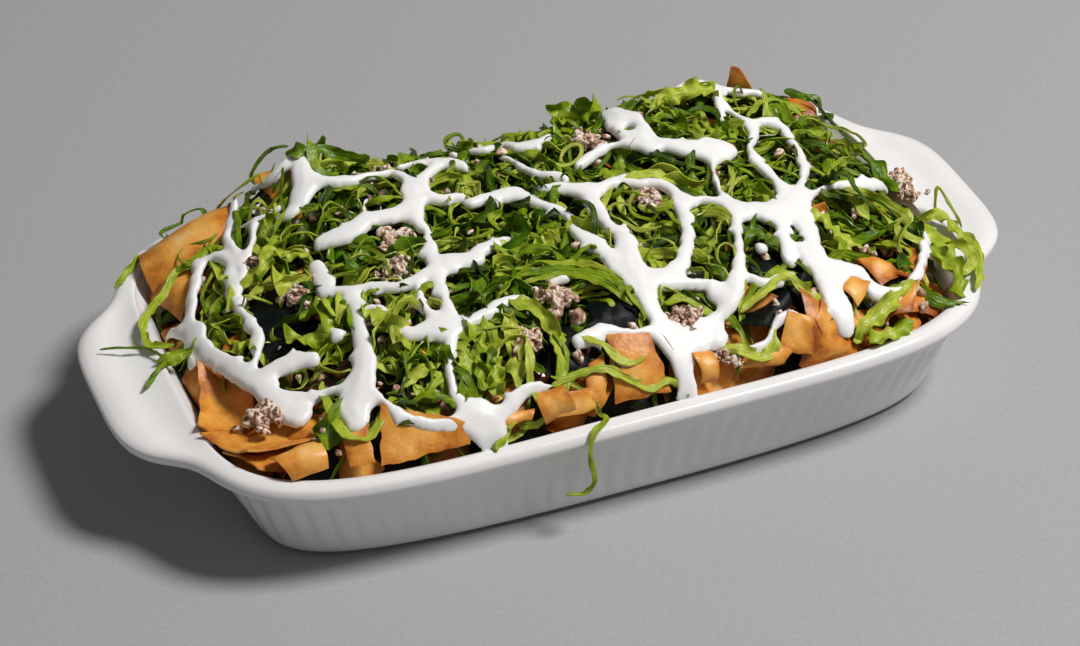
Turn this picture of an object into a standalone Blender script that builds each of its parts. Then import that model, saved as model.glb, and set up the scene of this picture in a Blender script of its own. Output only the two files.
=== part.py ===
"""Nachos in their dish: fried wonton chips, shredded lettuce, crumbled meat, sheets of dark
seaweed and a net of sour cream, heaped in a rectangular porcelain gratin dish that has a
flange handle at each end.

Lengths are millimetres until a mesh is made. +X runs along the dish to its right handle,
+Y to its far side and +Z up. The origin lies on the table, under the middle of the dish.
"""
import bpy
import bmesh
import math
from mathutils import Vector, noise
from mathutils.bvhtree import BVHTree

METRES = 0.001              # one millimetre
GAP = 0.4                   # clear space left between pieces that touch

# Dish: outlines are superellipses, given as half length, half width and their two powers.
RIM = (139.0, 83.0, 4.7, 4.7)
HANDLE = (152.0, 38.0, 12.0, 4.0)
HANDLE_BLEND = 9.0          # power by which the handles run into the rim, and a little past HANDLE
WALL_TOP = (134.0, 79.1, 4.7, 4.7)
WALL_FOOT = (119.7, 74.0, 2.53, 9.0)
LIP = (133.4, 76.7, 4.6, 4.6)
RIM_HEIGHT = 38.0
GROOVE_HEIGHT = 31.0        # under the rolled rim
FOOT_HEIGHT = 3.0           # where the wall starts
RIBS = 104
RIB_DEPTH = 0.8
RIB_BOTTOM = 6.0
RIB_TOP = 26.5
FLOOR = 5.6                 # upper side of the bottom
# Inside of the wall: height, and how far in from the wall's outer side.
INSIDE = ((FLOOR, 17.0), (8.2, 9.0), (13.0, 5.6), (GROOVE_HEIGHT, 5.0))

# Heap: a flat dome that falls to the lip, with a few mounds (x, y, height, radius).
HEAP_EDGE = 34.0
HEAP_RISE = 27.0
HEAP_SPREAD = (127.0, 78.0)
MOUNDS = (
    (-62, 46, 7, 26), (-20, 40, 2, 25), (66, 42, 6, 30), (20, 38, 2, 20), (-95, 10, -2, 20),
    (-100, -45, -5, 22), (95, -40, -3, 20), (30, -62, -5, 14), (-55, -64, -3, 14),
)
LUMP_SIZE = 17.0
LUMP_HEIGHT = 2.6

CHIP_THICKNESS = 1.5
SEAWEED_THICKNESS = 1.2
CREAM_THICKNESS = 3.2

# Chips: four corners in order round the chip as (x, y, height above the heap), then how far
# the chip bows out of its plane along and across.
CHIPS = {
    "chip_far_left_curl": (((-125, 60, 5), (-91, 63, 5), (-96, 46, 0), (-125.5, 44, 1)), 2.0, 3.5),
    "chip_far_left_small": (((-83, 63, 5), (-69, 60, 8), (-70, 54, -3), (-79, 59, -4)), 0, -1.0),
    "chip_left_petal": (((-124.5, -3, 6), (-134, -34, 7), (-117.5, -46.5, 4), (-113, -24, 2)), -3.0, -2.0),
    "chip_left_scoop": (((-129, -46, 3), (-117, -51, -2), (-110, -62, -3.5), (-122, -61, 1.5)), -1.0, 2.0),
    "chip_left_bowl": (((-134, -37, 5.5), (-124, -57, 7.5), (-96, -58, 1.5), (-92, -44, -1)), -3.0, -2.0),
    "chip_left_roll": (((-118, -60, 2.5), (-101, -58, 0), (-102, -69, -1), (-114, -69, 0)), 0, 4.0),
    "chip_front_dark": (((-93, -52, 2), (-85, -56, 3), (-88, -74, 2), (-96, -72, 1)), 0, 1.0),
    "chip_front_wedge": (((-81, -59, 3.5), (-56, -71, 3), (-57, -74.3, 0), (-86, -73.5, -1)), 1.0, 0),
    "chip_front_shard": (((-45, -71, 2), (-34, -72, 2), (-36, -74.3, 3), (-46, -74.2, 3)), 0, 0.5),
    "chip_front_knot": (((-33, -68, 1), (-23, -69, 3), (-20, -74, 1), (-31, -74, -1)), 0, 3.0),
    "chip_front_strip": (((-27, -70, 2), (-16, -71, 3), (-12, -74.2, 0), (-27, -74.2, 0)), 1.0, 0),
    "chip_square_back": (((-12, -64, 0.5), (-6, -62, 0.5), (-10, -73.5, 0.5), (-18, -73, 0.5)), 0, 1),
    "chip_square": (((-4, -59, 3.5), (10, -61, 3.5), (12, -74.3, 0), (-7, -74.3, 0)), 0.5, 1.5),
    "chip_front_curved": (((21.5, -68, 3), (29, -68, 2), (29, -74, -1), (22.5, -74.3, 0)), 0, 3.0),
    "chip_front_low": (((37, -73, 0), (49, -70, 1), (57, -72, 0), (52, -74.3, -1)), 1.0, 0.5),
    "chip_fold_left": (((57.5, -64, 4), (65, -68, 4), (63, -74.2, 0), (51.5, -72, 0)), 0, 0.5),
    "chip_fold_right": (((66, -69, 4.5), (71, -63, 4), (76, -71, 1), (66, -74.2, 0)), 0.5, 0.5),
    "chip_right_triangle": (((84, -54, 3), (91, -59, 4), (83, -66, 3), (80, -60, 3)), 0.5, 0.5),
    "chip_right_leaning": (((103, -62, 1), (109, -60, 5), (101, -70, 3), (91, -71, 1)), 1.0, 0.5),
    "chip_right_glazed": (((91, -42, 1), (99, -47, 3), (106, -53, 1), (96, -57, 0)), 0.5, 2.0),
    "chip_far_right": (((110, 55, 1), (119, 55, 2), (118, 47, 0), (110, 48, 0)), 0.5, 2.0),
    "chip_right_wall": (((116, -36, 2), (118, -47, 1), (112, -60, -2), (111, -48, 1)), 1.0, -1.5),
    "chip_far_tip": (((92, 55, 17), (94, 53, 17), (102, 50, 0), (90, 58, 0)), 0, 1.5),
}
# Sheets of seaweed, given in the same way.
SEAWEED = {
    "seaweed_left": (((-101, 12, 1), (-91, 13, 1), (-94, -20, 1), (-102, -21, 1)), 0.5, 2.0),
    "seaweed_front": (((-2, -44, 0.5), (8, -46, 0.5), (9, -54, 0.5), (-9, -53, 0.5)), 0.5, 1.5),
    "seaweed_front_low": (((-17, -47, 0), (-10, -54, 0), (-15, -63, 0), (-27, -62, 0)), 0.5, 1.5),
    "seaweed_right": (((68, -51, 1), (73, -53, 1), (50, -66, 2), (40, -61, 1)), 3.0, -1.5),
    "seaweed_right_small": (((55, -42, 0), (64, -41, 0), (61, -48, 0), (54, -47, 0)), 0.5, 0.5),
}
# Clumps of meat: x, y, radius.
CLUMPS = {
    "meat_left_bowl": (-112, -42, 8.0),
    "meat_left": (-86, 1, 6.5),
    "meat_left_far": (-95, 24, 5.5),
    "meat_middle_far": (-50, 9, 6.0),
    "meat_middle": (-56, -6, 6.5),
    "meat_front": (-29, -52, 6.5),
    "meat_front_right": (-14, -40, 7.0),
    "meat_far": (29, 34, 6.0),
    "meat_centre": (36, -2, 5.5),
    "meat_front_edge": (25, -55, 6.5),
    "meat_rim": (33, -70, 5.0),
    "meat_handle_far": (134.5, 6, 5.0),
    "meat_handle_near": (133.5, -3.5, 4.5),
}
SAMPLES = 7                 # places tested along each side of a face as it settles
SETTLING_PASSES = 12
CLUMP_RISE = 0.4            # height of a clump's middle over what it lies on, in radii
CLUMP_BED = 0.6             # share of a clump's radius that rests on the highest of it
# Sour cream: width of a strand at its start and end, then its route over the heap.
STRANDS = (
    (6, 8, ((-105, 35), (-112, 33), (-119, 20), (-120, 8), (-117, -8), (-111, -25))),
    (6, 7, ((-105, 35), (-104, 22), (-106, 6), (-107, -10), (-111, -25))),
    (9, 9, ((-114, -17), (-111, -25), (-107, -33), (-103, -44))),
    (8, 7, ((-111, -25), (-100, -30), (-91, -32))),
    (5, 5, ((-103, -42), (-94, -45), (-84, -50))),
    (6, 12, ((-75, -12), (-78, -28), (-81, -45), (-87, -55))),
    (5, 6, ((-82, 58), (-79, 52), (-72, 50), (-67, 45))),
    (7, 9, ((-65, 56), (-67, 48), (-71, 41), (-79, 37))),
    (5, 5, ((-67, 48), (-60, 43), (-52, 39), (-42, 42), (-33, 44), (-25, 43))),
    (8, 7, ((-76, 18), (-62, 18), (-50, 19), (-40, 20))),
    (8, 6, ((-79, 11), (-80, 0), (-77, -10), (-73, -19), (-67, -27), (-63, -36), (-49, -39))),
    (5, 5, ((-79, -7), (-70, -11), (-61, -15), (-54, -21))),
    (5, 6, ((-91, 56), (-98, 44), (-100, 33), (-103, 23))),
    (5, 5, ((-79, 38), (-87, 44), (-91, 37), (-99, 32))),
    (8, 7, ((-49, -39), (-48, -27), (-44, -13), (-42, 0), (-40, 19), (-35, 32), (-26, 43))),
    (6, 4, ((-48, -39), (-38, -41), (-30, -37), (-22, -42))),
    (6, 5, ((-49, -39), (-54, -53), (-60, -66), (-62, -69))),
    (5, 5, ((-57, -37), (-54, -21), (-46, -15))),
    (7, 3.5, ((-44, -12), (-33, -12), (-24, -9), (-15, -7))),
    (5, 5, ((-30, 39), (-21, 41), (-15, 34))),
    (6, 5, ((-37, 26), (-28, 20), (-18, 17), (-6, 16), (-1, 6), (4, -7), (5, -17), (9, -24))),
    (5, 6, ((-80, -56), (-75, -65), (-64, -69), (-50, -69))),
    (7, 5, ((-52, -69), (-44, -69), (-36, -67), (-26, -66))),
    (9, 8, ((40, 54), (46, 45), (49, 34), (45, 24))),
    (5, 4, ((45, 27), (34, 28), (21, 21))),
    (9, 8, ((45, 24), (57, 19), (73, 14))),
    (6, 6, ((70, 13), (62, 5), (60, -6), (60, -18))),
    (6, 6, ((67, 44), (73, 50), (82, 51), (91, 46), (99, 41))),
    (5, 6, ((86, 50), (82, 40), (76, 29))),
    (7, 8, ((80, 37), (87, 30), (84, 18), (82, 4), (83, -14))),
    (6, 6, ((86, 31), (99, 31), (100, 20), (95, 2), (86, -14))),
    (5, 6, ((-3, 14), (8, 14), (17, 8), (27, 10), (37, 8), (44, -1), (45, -8), (41, -18), (26, -43))),
    (5, 5, ((44, -1), (49, -11), (57, -13), (64, -18))),
    (7, 6, ((17, 8), (16, -5), (19, -17))),
    (6, 7, ((8, -22), (9, -31), (13, -44))),
    (8, 9, ((18, -24), (16, -34), (14, -45))),
    (6, 5, ((13, -44), (25, -44), (35, -49))),
    (8, 8, ((13, -44), (16, -56), (19, -66), (18, -72))),
    (5, 4, ((18, -60), (5, -58), (-11, -57))),
    (7, 8, ((18, -66), (35, -60), (45, -52), (52, -38), (58, -26), (64, -19))),
    (4, 4, ((33, -62), (46, -69), (56, -64))),
    (9, 10, ((60, -19), (72, -20), (84, -16))),
    (6, 4, ((84, -15), (97, -9.5), (111, -5), (123, -1))),
    (10, 11, ((83, -15), (83, -29), (78, -46), (76, -62))),
    (7, 6, ((72, -21), (71, -33), (66, -44))),
    (6, 4.5, ((80, -45), (90, -51), (93, -60), (101, -61), (113, -52), (123, -37), (126, -22))),
)
STRAND_STEP = 10.0
STRAND_LIFT = 0.8           # room under a strand for the remeshed underside
CREAM_GRAIN = 1.1           # voxel of the remeshed cream
CREAM_DETAIL = 0.045        # share of its faces that is kept


def clear_scene():
    for thing in list(bpy.data.objects):
        bpy.data.objects.remove(thing, do_unlink=True)


def finish_of(name, colour, roughness, metallic=0.0):
    """Principled material with one colour, given as linear red, green and blue."""
    material = bpy.data.materials.new(name)
    material.use_nodes = True
    shader = material.node_tree.nodes["Principled BSDF"]
    shader.inputs["Base Color"].default_value = (*colour, 1.0)
    shader.inputs["Roughness"].default_value = roughness
    shader.inputs["Metallic"].default_value = metallic
    return material


def new_object(name, points, faces, material):
    """Object from points in millimetres."""
    mesh = bpy.data.meshes.new(name)
    mesh.from_pydata([Vector(point) * METRES for point in points], [], faces)
    mesh.materials.append(material)
    piece = bpy.data.objects.new(name, mesh)
    bpy.context.scene.collection.objects.link(piece)
    return piece


def superellipse_radius(angle, shape):
    """Distance from the middle to |x/a|^p + |y/b|^q = 1 in the direction of angle."""
    half_x, half_y, power_x, power_y = shape
    along = abs(math.cos(angle)) / half_x
    across = abs(math.sin(angle)) / half_y
    low = 0.0
    high = half_x + half_y
    for _ in range(40):
        middle = (low + high) / 2
        if (middle * along) ** power_x + (middle * across) ** power_y < 1.0:
            low = middle
        else:
            high = middle
    return low


def even_angles(count):
    """Angles whose points lie evenly round the top of the wall."""
    samples = 4000
    angles = [2 * math.pi * i / samples for i in range(samples + 1)]
    radii = [superellipse_radius(angle, WALL_TOP) for angle in angles]
    lengths = [0.0]
    for i in range(samples):
        step = math.hypot(radii[i + 1] - radii[i], radii[i] * (angles[i + 1] - angles[i]))
        lengths.append(lengths[-1] + step)
    chosen = []
    i = 0
    for k in range(count):
        target = lengths[-1] * k / count
        while lengths[i + 1] < target:
            i += 1
        share = (target - lengths[i]) / (lengths[i + 1] - lengths[i])
        chosen.append(angles[i] + share * (angles[i + 1] - angles[i]))
    return chosen


def smoothstep(value):
    value = min(max(value, 0.0), 1.0)
    return value * value * (3 - 2 * value)


def mix(first, second, share):
    return first + (second - first) * share


class Station:
    """The dish's outlines in one direction from its middle."""

    def __init__(self, angle):
        self.direction = Vector((math.cos(angle), math.sin(angle), 0.0))
        body = superellipse_radius(angle, RIM)
        handle = superellipse_radius(angle, HANDLE)
        self.body = body
        self.rim = (body ** HANDLE_BLEND + handle ** HANDLE_BLEND) ** (1 / HANDLE_BLEND)
        self.handle_share = smoothstep((self.rim - body) / 14.0)
        self.wall_top = superellipse_radius(angle, WALL_TOP)
        self.wall_foot = superellipse_radius(angle, WALL_FOOT)
        self.lip = superellipse_radius(angle, LIP)

    def wall(self, height):
        """Outer side of the wall at a height."""
        share = (height - FOOT_HEIGHT) / (GROOVE_HEIGHT - FOOT_HEIGHT)
        return mix(self.wall_foot, self.wall_top, share ** 0.9)

    def inside(self, height):
        """Inner side of the wall at a height."""
        last_height, last_inset = INSIDE[0]
        for next_height, next_inset in INSIDE[1:]:
            if height <= next_height:
                share = (height - last_height) / (next_height - last_height)
                return self.wall(height) - mix(last_inset, next_inset, share)
            last_height, last_inset = next_height, next_inset
        share = (height - GROOVE_HEIGHT) / (RIM_HEIGHT - 1.4 - GROOVE_HEIGHT)
        return mix(self.wall_top - last_inset, self.lip, min(share, 1.0))

    def point(self, radius, height):
        return self.direction * radius + Vector((0.0, 0.0, height))


def stitch(faces, lower, upper):
    """Join two closed rings of points, one of which may have twice as many."""
    if len(lower) == len(upper):
        for i in range(len(lower)):
            j = (i + 1) % len(lower)
            faces.append((lower[i], lower[j], upper[j], upper[i]))
    elif len(lower) < len(upper):
        for i in range(len(lower)):
            j = (i + 1) % len(lower)
            left, middle, right = upper[2 * i], upper[2 * i + 1], upper[(2 * i + 2) % len(upper)]
            faces.append((lower[i], middle, left))
            faces.append((lower[i], lower[j], middle))
            faces.append((lower[j], right, middle))
    else:
        for i in range(len(upper)):
            j = (i + 1) % len(upper)
            left, middle, right = lower[2 * i], lower[2 * i + 1], lower[(2 * i + 2) % len(lower)]
            faces.append((left, middle, upper[i]))
            faces.append((upper[i], middle, upper[j]))
            faces.append((middle, right, upper[j]))


def lofted(name, rings, material):
    """Closed solid through rings of points, from the middle of its underside to its top."""
    points = []
    numbered = []
    for ring in rings:
        numbered.append(range(len(points), len(points) + len(ring)))
        points.extend(ring)
    faces = [tuple(reversed(numbered[0]))]
    for lower, upper in zip(numbered, numbered[1:]):
        stitch(faces, lower, upper)
    faces.append(tuple(numbered[-1]))
    return new_object(name, points, faces, material)


def make_dish(stations, material):
    """Foot, ribbed wall, rolled rim with its two handles, and the hollow inside."""
    coarse = stations[::2]
    sparse = stations[::4]

    def ring(radius, height, members=coarse):
        return [s.point(radius(s), height(s)) for s in members]

    def level(height):
        return lambda s: height

    def handled(plain, at_handle):
        return lambda s: mix(plain, at_handle, s.handle_share)

    def rib_ring(height):
        depths = (0.0, RIB_DEPTH)
        return [s.point(s.wall(height) - depths[i % 2], height) for i, s in enumerate(stations)]

    crest = 5.2                                     # crest of the rim, in from its edge
    rings = [
        ring(lambda s: s.wall_foot - 15.0, level(0.9), sparse),
        ring(lambda s: s.wall_foot - 13.0, level(0.0), sparse),
        ring(lambda s: s.wall_foot - 5.0, level(0.0)),
        ring(lambda s: s.wall_foot - 0.8, level(1.8)),
        ring(lambda s: s.wall(4.0), level(4.0)),
        rib_ring(RIB_BOTTOM),
        rib_ring(RIB_TOP),
        ring(lambda s: s.wall(RIB_TOP + 2), level(RIB_TOP + 2)),
        ring(lambda s: s.wall_top + 0.2, level(GROOVE_HEIGHT)),
        ring(lambda s: s.rim - 2.4, handled(31.8, 31.2)),
        ring(lambda s: s.rim, handled(34.6, 33.8)),
        ring(lambda s: mix(s.body - crest, s.rim, 0.8), handled(36.8, 37.0)),
        ring(lambda s: mix(s.body - crest, s.rim, 0.42), handled(37.7, 36.0)),
        ring(lambda s: s.body - crest, level(RIM_HEIGHT)),
        ring(lambda s: s.lip, level(RIM_HEIGHT - 1.4)),
        ring(lambda s: s.inside(GROOVE_HEIGHT), level(GROOVE_HEIGHT)),
        ring(lambda s: s.inside(13.0), level(13.0)),
        ring(lambda s: s.inside(8.2), level(8.2), sparse),
        ring(lambda s: s.inside(FLOOR), level(FLOOR), sparse),
    ]
    return lofted("dish", rings, material)


def heap_height(x, y):
    """Mean top of the heap over a place in the dish."""
    along = min(abs(x) / HEAP_SPREAD[0], 1.0)
    across = min(abs(y) / HEAP_SPREAD[1], 1.0)
    height = HEAP_EDGE + HEAP_RISE * (1 - along ** 3.2) ** 0.8 * (1 - across ** 3.6) ** 0.8
    fade = (1 - along ** 6) * (1 - across ** 6)
    for mound_x, mound_y, rise, radius in MOUNDS:
        distance = (x - mound_x) ** 2 + (y - mound_y) ** 2
        height += fade * rise * math.exp(-distance / radius ** 2)
    return height


def make_heap(stations, material):
    """Salad and chips that fill the dish, up to their uneven top."""
    members = stations[::4]
    side = 0.6                                      # clear of the wall all round
    rings = [[s.point(s.inside(FLOOR) - side, FLOOR + GAP) for s in members]]
    for height in (9.0, 13.5, GROOVE_HEIGHT):
        rings.append([s.point(s.inside(height) - side, height) for s in members])
    for share in (1.0, 0.94, 0.86, 0.76, 0.64, 0.50, 0.34, 0.17):
        ring = []
        for s in members:
            place = s.direction * (s.inside(HEAP_EDGE) - side) * share
            lump = noise.noise(Vector((place.x, place.y, 0.0)) / LUMP_SIZE) * LUMP_HEIGHT
            lump *= smoothstep((1.0 - share) / 0.15)
            ring.append(Vector((place.x, place.y, heap_height(place.x, place.y) + lump)))
        rings.append(ring)
    return lofted("salad_heap", rings, material)


def ground_height(ground, x, y):
    """Top of what already lies at a place, with the gap that the next piece keeps to it."""
    high = Vector((x, y, 200.0)) * METRES
    hit = ground.ray_cast(high, Vector((0.0, 0.0, -1.0)))[0]
    return hit.z / METRES + GAP if hit else HEAP_EDGE


def samples_of(corners):
    """Places spread over a face."""
    first = corners[0]
    for second, third in zip(corners[1:], corners[2:]):
        for i in range(SAMPLES + 1):
            for j in range(SAMPLES + 1 - i):
                yield first + (second - first) * (i / SAMPLES) + (third - first) * (j / SAMPLES)


def settle(points, faces, groups, ground, room=0.0):
    """Raise the points, each with the others of its group, until every face clears the ground."""
    for _ in range(SETTLING_PASSES):
        lifts = {}
        for face in faces:
            lack = 0.0
            for place in samples_of([points[i] for i in face]):
                needed = ground_height(ground, place.x, place.y) + room
                lack = max(lack, needed - place.z)
            if lack > 0.0:
                for i in face:
                    lifts[groups[i]] = max(lifts.get(groups[i], 0.0), lack)
        if not lifts:
            break
        for point, group in zip(points, groups):
            point.z += lifts.get(group, 0.0)


def make_sheet(name, corners, bow_along, bow_across, thickness, ground, material):
    """Bent sheet between four corners, three cells long and three wide, laid on the ground."""
    cells = 3
    anchors = [Vector((x, y, heap_height(x, y) + lift)) for x, y, lift in corners]
    up = (anchors[1] - anchors[0]).cross(anchors[3] - anchors[0])
    if up.z < 0:
        up.negate()
        anchors = [anchors[1], anchors[0], anchors[3], anchors[2]]
    up.normalize()
    points = []
    for offset in (-thickness / 2, thickness / 2):
        for j in range(cells + 1):
            for i in range(cells + 1):
                u = i / cells
                v = j / cells
                near = anchors[0].lerp(anchors[1], u)
                far = anchors[3].lerp(anchors[2], u)
                bow = bow_along * 4 * u * (1 - u) + bow_across * 4 * v * (1 - v)
                points.append(near.lerp(far, v) + up * (bow + offset))
    row = cells + 1
    layer = row * row
    faces = []
    for j in range(cells):
        for i in range(cells):
            a = j * row + i
            faces.append((a, a + row, a + row + 1, a + 1))
            faces.append((a + layer, a + layer + 1, a + layer + row + 1, a + layer + row))
    border = [i for i in range(row)]
    border += [j * row + cells for j in range(1, row)]
    border += [cells * row + i for i in range(cells - 1, -1, -1)]
    border += [j * row for j in range(cells - 1, 0, -1)]
    for a, b in zip(border, border[1:] + border[:1]):
        faces.append((a, b, b + layer, a + layer))
    settle(points, faces, [i % layer for i in range(len(points))], ground)
    return new_object(name, points, faces, material)


def make_clump(name, x, y, radius, ground, material):
    """Lump of crumbled meat: a ball pushed in and out by noise, flat where it lies on others."""
    flatness = 0.75
    roughness = 0.35
    work = bmesh.new()
    bmesh.ops.create_icosphere(work, subdivisions=2, radius=1.0)
    places = [(x, y)]
    for step in range(8):
        angle = step * math.pi / 4
        places.append((x + radius * CLUMP_BED * math.cos(angle), y + radius * CLUMP_BED * math.sin(angle)))
    bed = max(ground_height(ground, *place) for place in places)
    centre = Vector((x, y, bed + CLUMP_RISE * radius))
    points = []
    for vertex in work.verts:
        bump = 1.0 + roughness * noise.noise(vertex.co * 1.8 + Vector((x, y, 0.0)))
        place = vertex.co * radius * bump
        place.z *= flatness
        points.append(place + centre)
    faces = [tuple(vertex.index for vertex in face.verts) for face in work.faces]
    work.free()
    settle(points, faces, range(len(points)), ground)
    return new_object(name, points, faces, material)


def tree_of(pieces):
    """Search tree over the surfaces of several pieces."""
    points = []
    faces = []
    for piece in pieces:
        start = len(points)
        points.extend(vertex.co for vertex in piece.data.vertices)
        faces.extend([start + i for i in polygon.vertices] for polygon in piece.data.polygons)
    return BVHTree.FromPolygons(points, faces)


def spread_route(route):
    """Points every STRAND_STEP or so on a smooth curve through the route's points."""
    corners = [Vector(place) for place in route]
    corners = [corners[0] * 2 - corners[1]] + corners + [corners[-1] * 2 - corners[-2]]
    places = []
    for before, start, end, after in zip(corners, corners[1:], corners[2:], corners[3:]):
        steps = max(1, round((end - start).length / STRAND_STEP))
        for k in range(steps):
            t = k / steps
            places.append(0.5 * (
                2 * start + (end - before) * t
                + (2 * before - 5 * start + 4 * end - after) * t ** 2
                + (3 * start - before - 3 * end + after) * t ** 3))
    places.append(corners[-2])
    return places


def make_strand(name, start_width, end_width, route, ground, material):
    """Strand of cream that lies over whatever is under it, flat below and round above."""
    places = spread_route(route)
    last = len(places) - 1
    # Section from below left round to the left side: share of the half width, share of the height.
    section = ((-0.8, 0.0), (0.8, 0.0), (1.0, 0.4), (0.65, 0.9), (-0.65, 0.9), (-1.0, 0.4))
    sides = len(section)
    points = []
    for k, place in enumerate(places):
        heading = (places[min(k + 1, last)] - places[max(k - 1, 0)]).normalized()
        across = Vector((heading.y, -heading.x))
        half_width = mix(start_width, end_width, k / last) / 2 * (0.6 if k in (0, last) else 1.0)
        low_left = ground_height(ground, *(place - across * half_width)) + STRAND_LIFT
        low_right = ground_height(ground, *(place + across * half_width)) + STRAND_LIFT
        for side, rise in section:
            low = mix(low_left, low_right, (side + 1) / 2)
            points.append(Vector((*(place + across * half_width * side), low + rise * CREAM_THICKNESS)))
    faces = [tuple(range(sides)), tuple(sides * last + i for i in reversed(range(sides)))]
    for k in range(last):
        a = sides * k
        for i in range(sides):
            j = (i + 1) % sides
            faces.append((a + i, a + sides + i, a + sides + j, a + j))
    settle(points, faces, [i // sides for i in range(len(points))], ground)
    return new_object(name, points, faces, material)


def run_together(name, strands, ground, material):
    """One body of cream from strands that cross: remeshed as a whole, thinned out, laid again."""
    work = bmesh.new()
    for strand in strands:
        work.from_mesh(strand.data)
        bpy.data.objects.remove(strand, do_unlink=True)
    pool = bpy.data.meshes.new(name)
    work.to_mesh(pool)
    work.free()
    drizzle = bpy.data.objects.new(name, pool)
    bpy.context.scene.collection.objects.link(drizzle)
    remesh = drizzle.modifiers.new("run together", "REMESH")
    remesh.mode = "VOXEL"
    remesh.voxel_size = CREAM_GRAIN * METRES
    thin_out = drizzle.modifiers.new("thin out", "DECIMATE")
    thin_out.ratio = CREAM_DETAIL
    bpy.context.view_layer.update()
    evaluated = drizzle.evaluated_get(bpy.context.evaluated_depsgraph_get())
    mesh = bpy.data.meshes.new_from_object(evaluated)
    bpy.data.objects.remove(drizzle, do_unlink=True)
    points = [vertex.co / METRES for vertex in mesh.vertices]
    faces = [tuple(polygon.vertices) for polygon in mesh.polygons]
    settle(points, faces, range(len(points)), ground, STRAND_LIFT)
    return new_object(name, points, faces, material)


def point_out(piece):
    """Turn the faces of a closed mesh outwards."""
    work = bmesh.new()
    work.from_mesh(piece.data)
    bmesh.ops.recalc_face_normals(work, faces=work.faces)
    work.to_mesh(piece.data)
    work.free()


def build():
    clear_scene()
    porcelain = finish_of("glazed porcelain", (0.80, 0.80, 0.79), 0.12)
    salad = finish_of("salad", (0.16, 0.24, 0.03), 0.55)
    fried = finish_of("fried dough", (0.56, 0.25, 0.06), 0.45)
    seaweed = finish_of("seaweed", (0.01, 0.018, 0.018), 0.3)
    meat = finish_of("crumbled meat", (0.42, 0.24, 0.15), 0.6)
    cream = finish_of("sour cream", (0.83, 0.81, 0.78), 0.3)

    stations = [Station(angle) for angle in even_angles(2 * RIBS)]
    dish = make_dish(stations, porcelain)
    heap = make_heap(stations, salad)
    point_out(dish)
    point_out(heap)
    laid = [dish, heap]
    for name, (corners, bow_along, bow_across) in SEAWEED.items():
        sheet = (corners, bow_along, bow_across, SEAWEED_THICKNESS)
        laid.append(make_sheet(name, *sheet, tree_of(laid), seaweed))
    for name, (corners, bow_along, bow_across) in CHIPS.items():
        sheet = (corners, bow_along, bow_across, CHIP_THICKNESS)
        laid.append(make_sheet(name, *sheet, tree_of(laid), fried))
    for name, (x, y, radius) in CLUMPS.items():
        laid.append(make_clump(name, x, y, radius, tree_of(laid), meat))
    for piece in laid:
        point_out(piece)

    ground = tree_of(laid)
    strands = []
    for number, (start_width, end_width, route) in enumerate(STRANDS):
        name = "strand_" + str(number)
        strand = make_strand(name, start_width, end_width, route, ground, cream)
        point_out(strand)
        strands.append(strand)
    run_together("cream_drizzle", strands, ground, cream)


build()
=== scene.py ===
"""Looks of the nachos in their dish: a glazed gratin dish, fried wonton crisps, shredded
lettuce, crumbled meat, sheets of dark seaweed, brown sauce and a net of sour cream.

Lengths are millimetres until a mesh is made. +X runs along the dish to its right handle,
+Y to its far side and +Z up. The origin lies on the table, under the middle of the dish.
"""

import math

import bmesh
import bpy
import numpy as np
from mathutils import Matrix, Vector


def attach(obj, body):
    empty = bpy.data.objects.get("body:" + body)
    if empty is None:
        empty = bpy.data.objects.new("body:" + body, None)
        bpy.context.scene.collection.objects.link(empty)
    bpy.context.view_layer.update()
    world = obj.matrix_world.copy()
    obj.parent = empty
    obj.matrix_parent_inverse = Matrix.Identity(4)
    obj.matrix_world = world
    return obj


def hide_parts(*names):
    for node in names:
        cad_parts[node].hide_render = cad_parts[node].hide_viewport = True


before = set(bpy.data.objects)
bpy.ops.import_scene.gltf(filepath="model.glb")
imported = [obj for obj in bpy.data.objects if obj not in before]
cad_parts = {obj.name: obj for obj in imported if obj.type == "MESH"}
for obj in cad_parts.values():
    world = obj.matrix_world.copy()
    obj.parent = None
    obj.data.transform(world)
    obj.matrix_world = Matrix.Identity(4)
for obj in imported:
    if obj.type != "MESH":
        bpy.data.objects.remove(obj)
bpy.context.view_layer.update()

MM = 0.001

# Dish: outlines are superellipses, given as half length, half width and their two powers.
RIM = (139.0, 83.0, 4.7, 4.7)
HANDLE = (152.0, 38.0, 12.0, 4.0)
HANDLE_BLEND = 9.0                  # power that joins body and handles into one rim
HANDLE_EASE = 14.0                  # how far the rim stands out where it is all handle
WALL_TOP = (134.0, 79.1, 4.7, 4.7)
WALL_FOOT = (119.7, 74.0, 2.53, 9.0)
LIP = (133.4, 76.7, 4.6, 4.6)
WELL = (131.6, 74.9, 4.6, 4.6)      # where food still clears the inside of the wall
RIM_HEIGHT = 38.0
LIP_HEIGHT = 36.4
GROOVE_HEIGHT = 31.0
FOOT_HEIGHT = 3.0
RECESS_HEIGHT = 0.9                 # underside inside the foot ring
FLOOR = 5.6
CREST_INSET = 5.2                   # from the rim's outer side in to its highest line
WALL_CURVE = 0.9                    # power by which the wall leans out on its way up
CENTRE = 0.02                       # share of the foot's radius where the last ring closes
RIBS = 104
POINTS_A_RIB = 8
RIB_DEPTH = 0.8
RIB_BOTTOM = 4.5
RIB_TOP = 27.0
RIBBED_RINGS = 15                   # rings of the profile that come before the rim
SPANS = 2                           # rings made for each ring of the profile
# Inside of the wall: height, and how far in from the wall's outer side.
INSIDE = ((FLOOR, 17.0), (8.2, 9.0), (13.0, 5.6), (20.0, 5.3), (GROOVE_HEIGHT, 5.0))

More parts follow.
